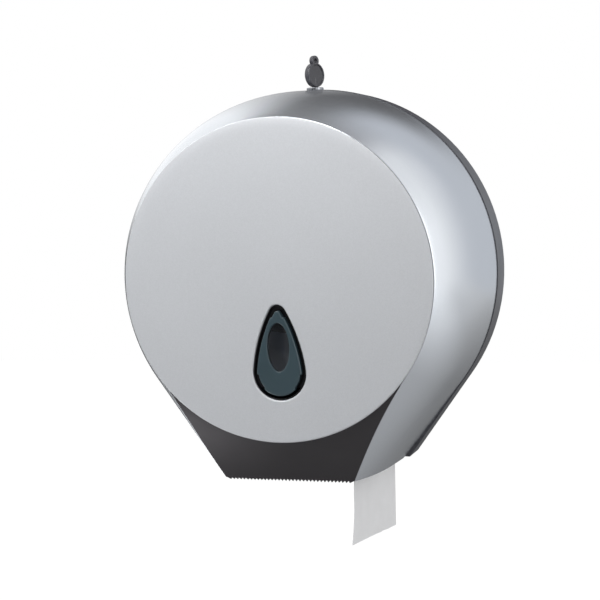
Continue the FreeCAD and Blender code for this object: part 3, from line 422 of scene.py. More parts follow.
class Tree:
    """The nodes of a material, a world or a group, made one call at a time."""

    def __init__(self, tree):
        self.tree = tree

    def put(self, socket, value):
        """Link a socket to another one, or give it a value; a colour may come without its alpha."""
        if isinstance(value, bpy.types.NodeSocket):
            self.tree.links.new(value, socket)
        elif socket.type == "RGBA":
            socket.default_value = (*value[:3], 1)
        else:
            socket.default_value = value

    def add(self, kind, values=(), **settings):
        made = self.tree.nodes.new(kind)
        for name, value in settings.items():
            setattr(made, name, value)
        for socket, value in dict(values).items():
            self.put(made.inputs[socket], value)
        return made

    def maths(self, operation, first, second):
        return self.add("ShaderNodeMath", {0: first, 1: second}, operation=operation).outputs[0]

    def times(self, first, second):
        return self.maths("MULTIPLY", first, second)

    def plus(self, first, second):
        return self.maths("ADD", first, second)

    def weighed(self, first, share, second, other):
        """A value times its share, plus a second value times its own."""
        return self.plus(self.times(first, share), self.times(second, other))

    def ramp(self, value, low, high, to_low=0.0, to_high=1.0):
        values = {0: value, 1: low, 2: high, 3: to_low, 4: to_high}
        return self.add("ShaderNodeMapRange", values).outputs[0]

    def noise(self, place, scale, detail=3.0, roughness=0.5):
        return self.add("ShaderNodeTexNoise", {"Vector": place, "Scale": scale, "Detail": detail,
                                               "Roughness": roughness}).outputs[0]

    def mix(self, share, first, second):
        return self.add("ShaderNodeMix", {0: share, 6: first, 7: second}, data_type="RGBA").outputs[2]

    def shader_mix(self, share, first, second):
        return self.add("ShaderNodeMixShader", {0: share, 1: first, 2: second}).outputs[0]

    def light(self, kind, tone, strength):
        """A shader that gives light: an Emission, or a world's Background."""
        return self.add("ShaderNode" + kind, {"Color": tone, "Strength": strength}).outputs[0]

    def parts(self, place):
        return self.add("ShaderNodeSeparateXYZ", {0: place}).outputs

    def object_place(self):
        return self.add("ShaderNodeTexCoord").outputs["Object"]

    def stretched(self, place, scale, turn=(0, 0, 0)):
        values = {"Vector": place, "Rotation": turn, "Scale": scale}
        return self.add("ShaderNodeMapping", values).outputs[0]

    def from_axis(self, place):
        """Distance from an axis square to the wall."""
        x, _, z = self.parts(place)
        flat = self.along(x, z)
        return self.add("ShaderNodeVectorMath", {0: flat}, operation="LENGTH").outputs["Value"]

    def along(self, x, z=0.0):
        return self.add("ShaderNodeCombineXYZ", {0: x, 2: z}).outputs[0]


def cleared(holder):
    """The empty nodes of a material or a world."""
    holder.use_nodes = True
    holder.node_tree.nodes.clear()
    return Tree(holder.node_tree)


def group(name, inputs, outputs, build):
    """A shared effect, built once. A default of its inputs is a number or a colour, and an output is a
    number unless it is called Colour."""
    if name in bpy.data.node_groups:
        return bpy.data.node_groups[name]
    tree = bpy.data.node_groups.new(name, "ShaderNodeTree")
    for label, default in inputs.items():
        kind = "NodeSocketColor" if hasattr(default, "__len__") else "NodeSocketFloat"
        tree.interface.new_socket(name=label, in_out="INPUT", socket_type=kind).default_value = default
    for label in outputs:
        kind = "NodeSocketColor" if label == "Colour" else "NodeSocketFloat"
        tree.interface.new_socket(name=label, in_out="OUTPUT", socket_type=kind)
    t = Tree(tree)
    given = t.add("NodeGroupInput").outputs
    sent = t.add("NodeGroupOutput").inputs
    for label, value in build(t, given).items():
        t.put(sent[label], value)
    return tree


GREY = (0.5, 0.5, 0.5, 1)
PALE_GREY = (0.8, 0.8, 0.8, 1)


def moulded_grain():
    """The fine eggshell texture of a moulded surface."""
    def build(t, given):
        place = t.object_place()
        fine = t.noise(place, given["Scale"], 2.0)
        wide = t.noise(place, t.times(given["Scale"], 0.02), 2.0)
        return {"Height": t.weighed(fine, 0.8, wide, given["Waviness"])}
    return group("Moulded grain", {"Scale": 2500.0, "Waviness": 0.3}, ["Height"], build)


def handled_sheen():
    """Roughness that drifts, with faint wiped streaks."""
    def build(t, given):
        place = t.object_place()
        cloud = t.noise(place, given["Scale"], 4.0, 0.6)
        streak = t.noise(t.stretched(place, (1, 14, 3), (0.3, 0.5, 0.9)), given["Scale"], 3.0, 0.7)
        both = t.weighed(cloud, 0.65, streak, 0.35)
        return {"Roughness": t.ramp(both, 0.35, 0.65, given["Low"], given["High"])}
    return group("Handled sheen", {"Scale": 30.0, "Low": 0.3, "High": 0.4}, ["Roughness"], build)


def tone_drift():
    """A colour that drifts slightly towards another over the surface."""
    def build(t, given):
        cloud = t.noise(t.object_place(), given["Scale"], 3.0, 0.55)
        return {"Colour": t.mix(t.ramp(cloud, 0.3, 0.7), given["Colour"], given["Other"])}
    return group("Tone drift", {"Colour": GREY, "Other": GREY, "Scale": 12.0}, ["Colour"], build)


def paint_flake():
    """Fine bright specks of metal in a paint."""
    def build(t, given):
        cells = t.add("ShaderNodeTexVoronoi", {"Vector": t.object_place(), "Scale": given["Scale"]})
        speck = t.ramp(cells.outputs["Color"], 0.0, 1.0, -1.0, 1.0)
        bright = t.plus(1.0, t.times(speck, given["Strength"]))
        scaled = t.add("ShaderNodeVectorMath", {0: given["Colour"], "Scale": bright}, operation="SCALE")
        return {"Colour": scaled.outputs[0]}
    return group("Paint flake", {"Colour": GREY, "Scale": 3000.0, "Strength": 0.05}, ["Colour"], build)


def worn_edges():
    """A lighter colour along convex edges."""
    def build(t, given):
        point = t.add("ShaderNodeNewGeometry").outputs["Pointiness"]
        rough = t.noise(t.object_place(), 400.0, 3.0)
        edge = t.times(t.ramp(point, 0.52, 0.60), t.ramp(rough, 0.35, 0.6))
        return {"Colour": t.mix(t.times(edge, given["Amount"]), given["Colour"], given["Worn"])}
    return group("Worn edges", {"Colour": GREY, "Worn": PALE_GREY, "Amount": 0.3}, ["Colour"], build)


def turned_lines():
    """Fine lines left by a lathe round an axis square to the wall."""
    def build(t, given):
        out = t.from_axis(t.object_place())
        return {"Lines": t.noise(t.along(out), given["Scale"], 3.0, 0.7)}
    return group("Turned lines", {"Scale": 2500.0}, ["Lines"], build)


def wound_layers():
    """The edges of wound paper, seen on the end of a roll."""
    def build(t, given):
        place = t.object_place()
        wobble = t.noise(place, 18.0, 2.0)
        line = t.along(t.plus(t.from_axis(place), t.times(wobble, given["Wobble"])))
        fine = t.noise(line, given["Scale"], 2.0, 0.6)
        wide = t.noise(line, t.times(given["Scale"], 0.12), 2.0, 0.6)
        return {"Height": t.weighed(fine, 0.6, wide, 0.4), "Shade": t.ramp(fine, 0.3, 0.7)}
    return group("Wound layers", {"Scale": 1500.0, "Wobble": 0.0006}, ["Height", "Shade"], build)


# Finishes

def finish(name, tone, values, colour_of=None, roughness_of=None, height_of=None, depth=0.0):
    """A material: plain numbers on the shader's sockets, and what varies from shared groups."""
    if name in bpy.data.materials:
        return bpy.data.materials[name]
    material = bpy.data.materials.new(name)
    t = cleared(material)
    shader = t.add("ShaderNodeBsdfPrincipled", {"Base Color": tone, **values})
    t.add("ShaderNodeOutputMaterial", {0: shader.outputs[0]})
    if colour_of:
        t.put(shader.inputs["Base Color"], colour_of(t))
    if roughness_of:
        t.put(shader.inputs["Roughness"], roughness_of(t))
    if height_of:
        bump = t.add("ShaderNodeBump", {"Height": height_of(t), "Strength": 1.0, "Distance": depth})
        t.put(shader.inputs["Normal"], bump.outputs[0])
    material.diffuse_color = (*tone[:3], 1)
    return material


def use(t, tree, **values):
    """A shared group placed in a material."""
    values = {name.capitalize(): value for name, value in values.items()}
    return t.add("ShaderNodeGroup", values, node_tree=tree).outputs


def shade(tone, factor):
    return tuple(min(1.0, part * factor) for part in tone)


def drifting(tone, low, high, scale=12.0):
    """A colour that drifts between two shades of a tone."""
    ends = {"colour": shade(tone, low), "other": shade(tone, high)}
    return lambda t: use(t, tone_drift(), scale=scale, **ends)["Colour"]


def flaked(base, scale, strength):
    """A colour with specks of metal in it."""
    return lambda t: use(t, paint_flake(), colour=base(t), scale=scale, strength=strength)["Colour"]


def worn(base, edge, amount):
    """A colour that gives way to another along its edges."""
    return lambda t: use(t, worn_edges(), colour=base(t), worn=edge, amount=amount)["Colour"]


def sheen(low, high, scale=30.0):
    return lambda t: use(t, handled_sheen(), low=low, high=high, scale=scale)["Roughness"]


def grain(scale, waviness=0.3):
    return lambda t: use(t, moulded_grain(), scale=scale, waviness=waviness)["Height"]


def lathe_marks(scale):
    return lambda t: use(t, turned_lines(), scale=scale)["Lines"]


def silver_paint():
    tone = finishes().silver
    return finish("Silver paint", tone, {"Metallic": 0.25, "Specular IOR Level": 0.4, "Coat Weight": 0.12,
                                         "Coat Roughness": 0.35},
                  flaked(drifting(tone, 0.985, 1.015, 9.0), 1400.0, 0.035), sheen(0.44, 0.50),
                  grain(1500.0, 0.2), mm(0.006))


def satin_cover():
    tone = finishes().satin
    return finish("Satin cover", tone, {"Metallic": 0.85, "Specular IOR Level": 0.5},
                  flaked(drifting(tone, 0.98, 1.02, 7.0), 1800.0, 0.02), sheen(0.22, 0.27, 22.0),
                  grain(1300.0, 0.15), mm(0.0008))


def graphite():
    tone = finishes().graphite
    return finish("Graphite", tone, {"Metallic": 0.7, "Specular IOR Level": 0.45},
                  drifting(tone, 0.92, 1.10), sheen(0.32, 0.38), grain(2200.0), mm(0.008))


def dark_case():
    tone = finishes().case
    return finish("Dark case", tone, {"Specular IOR Level": 0.5},
                  worn(drifting(tone, 0.9, 1.1, 10.0), shade(tone, 2.2), 0.4), sheen(0.33, 0.42),
                  grain(2600.0), mm(0.008))


def black_trim():
    tone = finishes().trim
    return finish("Black trim", tone, {"Specular IOR Level": 0.25}, drifting(tone, 1.0, 1.5),
                  sheen(0.16, 0.24, 60.0), grain(3000.0, 0.1), mm(0.002))


def smoked_trim():
    tone = finishes().smoke
    return finish("Smoked trim", tone, {"Specular IOR Level": 0.5, "Coat Weight": 0.3,
                                        "Coat Roughness": 0.15},
                  drifting(tone, 0.94, 1.06, 40.0), sheen(0.30, 0.38, 60.0), grain(2600.0, 0.1),
                  mm(0.003))


def smoked_clear():
    return finish("Smoked clear", finishes().pane, {"Transmission Weight": 1.0, "IOR": 1.46}, None,
                  sheen(0.02, 0.06, 80.0), grain(900.0, 0.2), mm(0.0005))


def key_plastic():
    tone = finishes().key
    return finish("Key plastic", tone, {"Specular IOR Level": 0.5},
                  worn(drifting(tone, 0.85, 1.15, 80.0), shade(tone, 2.5), 0.5), sheen(0.30, 0.42, 120.0),
                  grain(3500.0), mm(0.008))


def adapter_plastic():
    tone = finishes().adapter
    return finish("Adapter plastic", tone, {"Specular IOR Level": 0.5}, drifting(tone, 0.9, 1.15, 20.0),
                  sheen(0.36, 0.46), grain(2400.0), mm(0.008))


def metal(name, tone, low, high, height_of):
    return finish(name, tone, {"Metallic": 1.0},
                  worn(drifting(tone, 0.92, 1.06, 90.0), shade(tone, 1.3), 0.5),
                  sheen(low, high, 150.0), height_of, mm(0.004))


def zinc_steel():
    return metal("Zinc steel", finishes().steel, 0.28, 0.40, lathe_marks(3500.0))


def lock_metal():
    return metal("Lock metal", finishes().lock, 0.30, 0.42, grain(2200.0, 0.2))


# its dark tone is painted reflection of dark surroundings, not the metal's own colour
def chrome():
    return metal("Chrome", finishes().chrome, 0.10, 0.18, grain(2200.0, 0.2))


def tissue_side():
    """Tissue seen on its face: a soft crepe with faint embossed rows."""
    tone = finishes().tissue

    def height_of(t):
        place = t.object_place()
        crepe = t.noise(t.stretched(place, (1, 1, 4)), 900.0, 4.0)
        dots = t.add("ShaderNodeTexVoronoi", {"Vector": place, "Scale": 380.0, "Randomness": 0.25})
        return t.weighed(crepe, 0.6, dots.outputs[0], 0.5)

    return finish("Tissue", tone, {"Roughness": 0.92, "Specular IOR Level": 0.15, "Sheen Weight": 0.15,
                                   "Sheen Roughness": 0.6},
                  drifting(tone, 0.97, 1.03, 60.0), None, height_of, mm(0.06))


def tissue_ends():
    """Tissue seen on the ends of its roll, layer by layer."""
    tone = finishes().tissue

    def layers(t):
        return use(t, wound_layers(), scale=1400.0, wobble=0.0006)

    def colour_of(t):
        return t.mix(layers(t)["Shade"], shade(tone, 0.90), shade(tone, 1.0))

    def height_of(t):
        return layers(t)["Height"]

    return finish("Tissue ends", tone, {"Roughness": 0.95, "Specular IOR Level": 0.1}, colour_of, None,
                  height_of, mm(0.25))


def core_board():
    tone = finishes().board

    def colour_of(t):
        fibre = t.noise(t.stretched(t.object_place(), (1, 5, 1)), 350.0, 5.0)
        return t.mix(t.ramp(fibre, 0.35, 0.65), shade(tone, 0.8), shade(tone, 1.15))

    return finish("Core board", tone, {"Roughness": 0.85, "Specular IOR Level": 0.2}, colour_of, None,
                  grain(1200.0, 0.5), mm(0.05))


# Pieces

OVAL_DROP = mm(45.4)  # of the window's oval below the axis
OVAL_WIDE, OVAL_TALL = mm(8.0), mm(16.8)  # half axes of the hole for the pane
SUNK = mm(0.6)  # how far the inner solids of the cover reach into its wall
TINY = 1e-6


def circle_beyond(x, z, radius):
    """Where the line from the window's middle through a point meets a circle about the axis."""
    s = sizes()
    middle = Vector((s.window_shift, -(s.window_top + s.window_base) / 2))
    way = (Vector((x, z)) - middle).normalized()
    b = middle.dot(way)
    return middle + way * (-b + math.sqrt(b * b - middle.dot(middle) + radius ** 2))


def front_disc():
    """The domed silver disc, with a soft rim and a rolled edge round the window."""
    s = sizes()
    top = s.disc_rear + s.disc_edge + s.disc_dome
    ball = (s.disc_radius ** 2 + s.disc_dome ** 2) / (2 * s.disc_dome)

    def front(x, z):
        return top - ball + math.sqrt(ball ** 2 - x * x - z * z)

    rim, roll = mm(0.7), mm(1.2)
    back, outer = s.disc_rear, s.disc_radius
    edge_front = front(outer, 0)
    # from the back of the hole, round its rolled edge, out over the face and round the rim
    rows = [[(x, back, z) for x, z in drop_loop(0)]]
    for sine, cosine in quarter(6):
        rows.append([(x, front(x, z) - roll * (1 - sine), z) for x, z in drop_loop(roll * (1 - cosine))])
    start = drop_loop(roll)
    steps, crowding = 26, 1.25
    for n in range(1, steps + 1):
        share = (n / steps) ** crowding
        row = []
        for x, z in start:
            end = circle_beyond(x, z, outer - rim)
            px, pz = x + (end.x - x) * share, z + (end.y - z) * share
            row.append((px, front(px, pz), pz))
        rows.append(row)
    ends = [circle_beyond(x, z, outer) for x, z in start]
    for sine, cosine in quarter(8)[1:]:
        scale = (outer - rim + rim * sine) / outer
        rows.append([(e.x * scale, edge_front - rim * (1 - cosine), e.y * scale) for e in ends])
    # the rim is a thin lip, and the disc's side draws in behind it
    lip, undercut, rear = mm(0.1), mm(1.5), mm(1.8)
    for inward, depth in ((lip, edge_front - rim - mm(0.3)), (undercut, back + mm(0.5)), (rear, back)):
        scale = 1 - inward / outer
        rows.append([(e.x * scale, depth, e.y * scale) for e in ends])
    rows = [[Vector((x, -d, z)) for x, d, z in row] for row in rows]
    piece = new_piece("silver_disc", *skinned(rows, True), "cover", "silver_paint", silver_paint(), 50)
    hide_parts("front_disc")


def cover_band():
    """The satin band round the case: its outside, its soft edges and its inside."""
    straight, arc = 26, 150
    spots = [(1, n / straight) for n in range(straight)]
    spots += [(0, n / arc) for n in range(arc + 1)]
    spots += [(-1, 1 - (n + 1) / straight) for n in range(straight)]
    wall = sizes().cover_wall
    soft, gap = mm(0.45), mm(0.12)
    outer_rows, inner_rows = 30, 12
    turn = quarter(4)
    columns = []
    for side, share in spots:
        rear = rear_limit(side, share)
        front = front_limit(side, share, 0) - gap
        inner_front = front_limit(side, share, wall)
        profile = [(rear + soft * (1 - sine), soft * (1 - cosine)) for sine, cosine in turn[::-1]]
        profile += [(rear + soft + (front - soft - rear - soft) * n / outer_rows, 0)
                    for n in range(outer_rows + 1)]
        profile += [(front - soft + soft * sine, soft * (1 - cosine)) for sine, cosine in turn[1:]]
        profile += [(inner_front + (rear - inner_front) * n / inner_rows, wall)
                    for n in range(inner_rows + 1)]
        columns.append([outline_spot(depth, inset, side, share) for depth, inset in profile])
    piece = new_piece("satin_band", *block(columns), "cover", "satin_cover", satin_cover(), 35)
    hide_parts("cover_shell")


def cover_step():
    """The cover's front wall: a low round step behind the disc, open at the window."""
    s = sizes()
    disc_gap, band_gap, hole_gap = mm(0.05), mm(0.2), mm(2.2)
    hole = drop_loop(hole_gap)
    face, inside = s.disc_rear - disc_gap, s.disc_rear - s.cover_wall
    ledge = s.cover_front - band_gap
    under_chin = mm(119)

    def ring(depth, radius, low_depth=None, low_radius=None):
        """A ring at a depth and radius, or at others where it lies below the chin's top."""
        row = []
        for x, z in hole:
            spot = circle_beyond(x, z, radius)
            low = low_radius is not None and spot.y < -s.chin_top
            if low:
                spot = circle_beyond(x, z, low_radius)
            row.append(Vector((spot.x, -(low_depth if low else depth), spot.y)))
        return row

    drum, soft, waist = s.drum_radius, mm(0.3), mm(75)
    rim = s.disc_radius - mm(0.8)
    rows = [[Vector((x, -depth, z)) for x, z in hole] for depth in (inside, face)]
    rows += [ring(face, waist), ring(face, drum - soft), ring(face - soft, drum)]
    rows += [ring(ledge, drum, ledge, drum), ring(ledge, rim, ledge - mm(1), drum)]
    rows += [ring(ledge - mm(2), rim, under_chin, drum)]
    rows += [ring(inside - mm(0.6), rim - mm(3), under_chin, drum - mm(2))]
    rows += [ring(inside, drum - mm(4)), ring(inside, waist)]
    piece = new_piece("satin_step", *skinned(rows, True), "cover", "satin_cover", satin_cover(), 35)
    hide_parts("cover_shell")


def chin_land(side):
    """The strip inside the cover on which one edge of the chin lies."""
    s = sizes()
    gap, thick, wide, soft, steps = mm(0.15), mm(2.0), mm(7), mm(0.4), 24
    run = s.foot_drop - mm(2) - s.chin_top
    under = s.cover_wall + gap
    sections = []
    for n in range(steps + 1):
        z = -(s.chin_top + run * n / steps)
        near, far = chin_depth(z, under), chin_depth(z, under + thick)
        out = flare_across(-z, near, s.cover_wall - mm(0.5))
        spots = softened([(out, near), (out - wide, near), (out - wide, far), (out, far)],
                         [0, soft, soft, 0], True, 3)
        sections.append([Vector((side * x, -depth, z)) for x, depth in spots])
    return block(sections)


def cover_ear(side):
    """One of the cover's two ears: a plate with an eye for the hinge's pin, and its root."""
    s = sizes()
    inner, thick, eye, pin = mm(56.5), mm(3.0), mm(4.3), mm(2.05)
    depth, z, reach = mm(22), -mm(135), mm(28)

    def loop(radius, x):
        row = []
        for cosine, sine in circle(64):
            run = radius
            if radius > pin and cosine > 0:
                run = min((reach + radius - eye) / max(TINY, cosine), radius / max(TINY, abs(sine)))
            row.append(Vector((side * x, -(depth + run * cosine), z + run * sine)))
        return row

    soft = mm(0.4)
    rows = [loop(pin, inner), loop(eye - soft, inner), loop(eye, inner + soft),
            loop(eye, inner + thick - soft), loop(eye - soft, inner + thick), loop(pin, inner + thick)]
    root, run, steps = mm(33), mm(16.8), 8
    slim, corner = mm(0.1), mm(0.3)
    low, high = z - eye + slim, z + eye - slim
    sections = []
    for n in range(steps + 1):
        y = root + run * n / steps
        outs = [flare_across(-level, y, s.cover_wall - SUNK) for level in (low, high)]
        spots = softened([(inner + soft, low), (outs[0], low), (outs[1], high), (inner + soft, high)],
                         [corner, 0, 0, corner], True, 3)
        sections.append([Vector((side * x, -y, level)) for x, level in spots])
    return joined(skinned(rows, True), block(sections))


def strike_pad():
    """The block under the cover's top that the strike plate is screwed to."""
    rear, front, low, half = mm(31), mm(42), mm(126.05), mm(13)
    soft, lifted, steps = mm(0.6), 0.6, 16
    roof = cover_at(rear)[0] - sizes().cover_wall + SUNK
    sections = []
    for n in range(steps + 1):
        x = half * (2 * n / steps - 1)
        high = math.sqrt(roof ** 2 - x * x)
        lift = soft * (lifted if n in (0, steps) else 0)
        spots = softened([(rear, high), (rear, low + lift), (front, low + lift), (front, high)],
                         [0, soft, soft, 0], True, 4)
        sections.append([Vector((x, -depth, z)) for depth, z in spots])
    return block(sections)


def cover_inside():
    """Lands, ears and strike pad, moulded in one with the cover."""
    shape = joined(chin_land(1), chin_land(-1), cover_ear(1), cover_ear(-1), strike_pad())
    piece = new_piece("satin_inside", *shape, "cover", "satin_cover", satin_cover(), 35)
    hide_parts("cover_shell")


def chin_column(share, rows, under, inset, lower):
    """Points of the chin from its upper edge to its lower one, at a share of its half width."""
    s = sizes()
    drum_gap, crown_fade = mm(0.15), mm(36)
    radius = s.drum_radius + drum_gap

    def across(z, depth):
        return share * (flare_across(-z, depth) - inset)

    def clears_drum(z):
        return across(z, chin_depth(z)) ** 2 + z ** 2 >= radius ** 2

    z = -s.chin_top
    if not clears_drum(z):
        z = halved(-s.foot_drop, z, clears_drum)
    column = []
    foot = -s.foot_drop + lower
    for n in range(rows + 1):
        level = z + (foot - z) * n / rows
        swell = min(1.0, max(0.0, (level + s.foot_drop) / crown_fade))
        depth = chin_depth(level, under) + s.chin_crown * (1 - share * share) * swell
        column.append(Vector((across(level, chin_depth(level)), -depth, level)))
    return column


def chin_panel():
    """The dark chin, with a toothed lower edge and mitred sides."""
    s = sizes()
    gap, valley, plain_end, rows = mm(0.1), mm(0.1), mm(1.2), 26
    foot_half = flare_across(s.foot_drop, chin_depth(-s.foot_drop)) - gap
    pitch = s.tooth_pitch
    teeth = int((foot_half - plain_end) / pitch)
    spots = []
    for n in range(-2 * teeth, 2 * teeth + 1):
        spots.append((n * pitch / 2, valley if n % 2 else -s.tooth_height))
    for edge in (mm(0.55), mm(0.1), 0.0):
        spots += [(-foot_half + edge, 0.0), (foot_half - edge, 0.0)]
    spots.sort()
    front, back = [], []
    for x, lower in spots:
        share = x / foot_half
        front.append(chin_column(share, rows, 0.0, gap, lower))
        back.append(chin_column(share, rows, s.cover_wall, s.cover_wall, mm(0.6)))
    piece = new_piece("graphite_chin", *slab(front, back), "cover", "graphite", graphite(), 35)
    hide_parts("chin_panel")


def swept_drop(profile):
    """Rows of a profile of (offset, depth) swept round the window's drop."""
    return [[Vector((x, -depth, z)) for x, z in drop_loop(offset)] for offset, depth in profile]


def window_frame():
    """The black ring round the window, with its channel and the ledge under the bezel."""
    profile = [(2.0, 125.3), (2.0, 127.3), (-0.2, 127.3), (-0.2, 129.6), (-1.1, 129.6), (-1.1, 126.8),
               (-6.3, 126.8), (-6.3, 125.3)]
    radii = [mm(0.2), mm(0.2), 0, mm(0.35), mm(0.35), mm(0.2), mm(0.2), mm(0.2)]
    profile = softened([(mm(a), mm(b)) for a, b in profile], radii, True, 4)
    shape = skinned(swept_drop(profile), True)
    piece = new_piece("window_ring", *shape, "cover", "black_trim", black_trim(), 40)
    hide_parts("window_frame")


CLIPS = ((90, 9.5), (-45, 15), (-135, 15))  # angle and half width of each notch, in degrees
CLIP_CENTRE = mm(55)  # drop of the point round which those angles turn


def notch(angle):
    """How deep the bezel's edge is notched at an angle round the window, for its clips."""
    fade = 1.5
    depth = 0.0
    for centre, half in CLIPS:
        off = abs((angle - centre + 180) % 360 - 180)
        depth = max(depth, min(1.0, max(0.0, (half - off) / fade)))
    return depth


def window_bezel():
    """The smoked drop inside the ring, notched for its clips, with the oval cut through it."""
    s = sizes()
    count = 288
    middle = Vector((s.window_shift, -OVAL_DROP))
    front, rear = mm(130.8), mm(126.8)
    soft, lip = mm(0.8), mm(0.5)
    edge, notched = mm(-3.1), mm(-4.2)
    rims = []
    for a, b in zip(drop_loop(edge, count), drop_loop(notched, count)):
        k = notch(math.degrees(math.atan2(a[1] + CLIP_CENTRE, a[0] - s.window_shift)))
        rims.append(Vector((a[0] + (b[0] - a[0]) * k, a[1] + (b[1] - a[1]) * k)))

    def inward(distance):
        moved = []
        for n, p in enumerate(rims):
            way = (rims[(n + 2) % count] - rims[n - 2]).normalized()
            side = Vector((way.y, -way.x))
            if side.dot(middle - p) < 0:
                side = -side
            moved.append(p + side * distance)
        return moved

    def flat(row, depth):
        return [Vector((p.x, -depth, p.y)) for p in row]

    rows = [flat(rims, rear)]
    for sine, cosine in quarter(5):
        rows.append(flat(inward(soft * (1 - cosine)), front - soft + soft * sine))
    ovals = []
    for p in inward(soft):
        angle = math.atan2((p.y - middle.y) / OVAL_TALL, (p.x - middle.x) / OVAL_WIDE)
        ovals.append((math.cos(angle), math.sin(angle)))

    def oval_row(grow, depth):
        return [Vector((middle.x + (OVAL_WIDE + grow) * a, -depth, middle.y + (OVAL_TALL + grow) * b))
                for a, b in ovals]

    last, first = flat(inward(soft), front), oval_row(lip, front)
    steps = 6
    for n in range(1, steps + 1):
        rows.append([a.lerp(b, n / steps) for a, b in zip(last, first)])
    for sine, cosine in quarter(4)[1:]:
        rows.append(oval_row(lip * (1 - sine), front - lip * (1 - cosine)))
    rows.append(oval_row(0, rear))
    piece = new_piece("smoked_bezel", *skinned(rows, True), "cover", "smoked_trim", smoked_trim(), 40)
    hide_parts("window_bezel")


def window_pane():
    """The clear smoked oval, slightly crowned."""
    shift = sizes().window_shift
    steps, rings = 72, 8
    front, thick, crown, gap = mm(129.6), mm(1.5), mm(0.35), mm(0.05)
    wide, tall = OVAL_WIDE - gap, OVAL_TALL - gap
    points, faces = [], []
    for depth, swell in ((front, crown), (front - thick, 0.0)):
        base = len(points)
        points.append(Vector((shift, -(depth + swell), -OVAL_DROP)))
        rows = []
        for share in (r / rings for r in range(1, rings + 1)):
            level = depth + swell * (1 - share ** 2)
            rows.append([Vector((shift + wide * share * cosine, -level, -OVAL_DROP + tall * share * sine))
                         for cosine, sine in circle(steps)])
        points += [p for row in rows for p in row]
        faces += [(base, base + 1 + n, base + 1 + (n + 1) % steps) for n in range(steps)]
        faces += skin(rows, first=base + 1)
    edge = 1 + (rings - 1) * steps
    half = len(points) // 2
    for n in range(steps):
        a, b = edge + n, edge + (n + 1) % steps
        faces.append((a, b, half + b, half + a))
    piece = new_piece("smoked_pane", points, faces, "cover", "smoked_clear", smoked_clear(), 40)
    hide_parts("window_pane")


def paper_roll():
    """The wound roll: crepe outside, layered ends that lie slightly uneven."""
    s = sizes()
    lo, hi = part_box("paper_roll")
    rear, front = -hi[1], -lo[1]
    bore = s.core_radius + s.core_wall + mm(0.1)
    outer = s.roll_radius - mm(0.25)
    edge, back, corner = mm(1.6), rear + mm(0.3), front - mm(0.3)
    across = outer - edge - bore
    profile = [(bore, rear + mm(0.2)), (bore, front - mm(0.2))]
    steps = 41
    for share in (n / steps for n in range(1, steps)):
        wave = noise.noise(Vector((share * 9.0, 3.1, 0.0)))
        profile.append((bore + across * share, front - mm(0.35) + mm(0.30) * wave))
    profile += [(outer - edge + edge * sine, corner - edge * (1 - cosine)) for sine, cosine in quarter(6)]
    profile += [(outer, front - (front - rear) * n / 8) for n in range(1, 8)]
    profile += [(outer - edge + edge * cosine, back + edge * (1 - sine)) for sine, cosine in quarter(6)]
    profile += [(bore + across * (1 - n / 12), back) for n in range(1, 12)]
    rows = turned_rows(profile, 200)
    round_waves, across_waves, high = 22, 9, mm(0.22)
    for row in rows:
        for j, p in enumerate(row):
            out = Vector((p.x, 0, p.z))
            wave = noise.noise(Vector((p.x * round_waves, p.y * across_waves, p.z * round_waves)))
            if out.length > outer - mm(0.01):
                row[j] = p + out.normalized() * high * wave
    piece = new_piece("wound_paper", *skinned(rows, True), "roll_hub", "tissue", tissue_side(), 50)
    piece.data.materials.append(tissue_ends())
    end_on = 0.7  # how squarely a face of the roll's ends looks along the axis
    for face in piece.data.polygons:
        if abs(face.normal.y) > end_on:
            face.material_index = 1
    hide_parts("paper_roll")


def roll_core():
    """The cardboard tube, with the spiral seam of its winding on the inside."""
    s = sizes()
    lo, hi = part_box("roll_core")
    rear, front = -hi[1], -lo[1]
    steps, rings = 144, 30
    slack, end, pitch = mm(0.02), mm(0.15), mm(70)
    seam_wide, seam_high = mm(0.7), mm(0.12)
    inner, outer = s.core_radius + slack, s.core_radius + s.core_wall - slack
    run = front - rear - 2 * end

    def seam(k, depth):
        turn = (k / steps + (depth - rear) / pitch) % 1.0
        return math.exp(-((min(turn, 1 - turn) * 2 * math.pi * s.core_radius) / seam_wide) ** 2)

    def ring(depth, radii):
        return [Vector((r * cosine, -depth, r * sine)) for r, (cosine, sine) in zip(radii, circle(steps))]

    rows = []
    for n in range(rings + 1):
        depth = rear + end + run * n / rings
        rows.append(ring(depth, [inner + seam_high * seam(k, depth) for k in range(steps)]))
    for n in range(rings + 1):
        rows.append(ring(front - end - run * n / rings, [outer] * steps))
    piece = new_piece("board_core", *skinned(rows, True), "roll_hub", "core_board", core_board(), 50)
    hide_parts("roll_core")


# where the hanging sheet bends and ends, across and down at its rear edge, and how much less far at
# its front edge, in millimetres
BEND, BEND_LESS = (50.6, 129.0), (7.8, 0.0)
END, END_LESS = (49.4, 197.4), (10.2, 7.0)


def tail_line(share, reach):
    """The hanging sheet's path at a share of its width: off the roll, round one soft bend and down."""
    bend, end = (Vector((mm(spot[0] - less[0] * share), 0, -mm(spot[1] - less[1] * share)))
                 for spot, less in ((BEND, BEND_LESS), (END, END_LESS)))
    off = math.atan2(bend.z, bend.x) + math.acos(reach / bend.length)
    start = Vector((reach * math.cos(off), 0, reach * math.sin(off)))
    soft, steps = mm(26), 48
    a = bend - (bend - start).normalized() * soft
    b = bend + (end - bend).normalized() * soft
    points = [start.lerp(a, n / steps) for n in range(steps)]
    for u in (n / steps for n in range(steps)):
        points.append(a * (1 - u) ** 2 + bend * 2 * u * (1 - u) + b * u ** 2)
    return points + [b.lerp(end, n / steps) for n in range(steps + 1)]


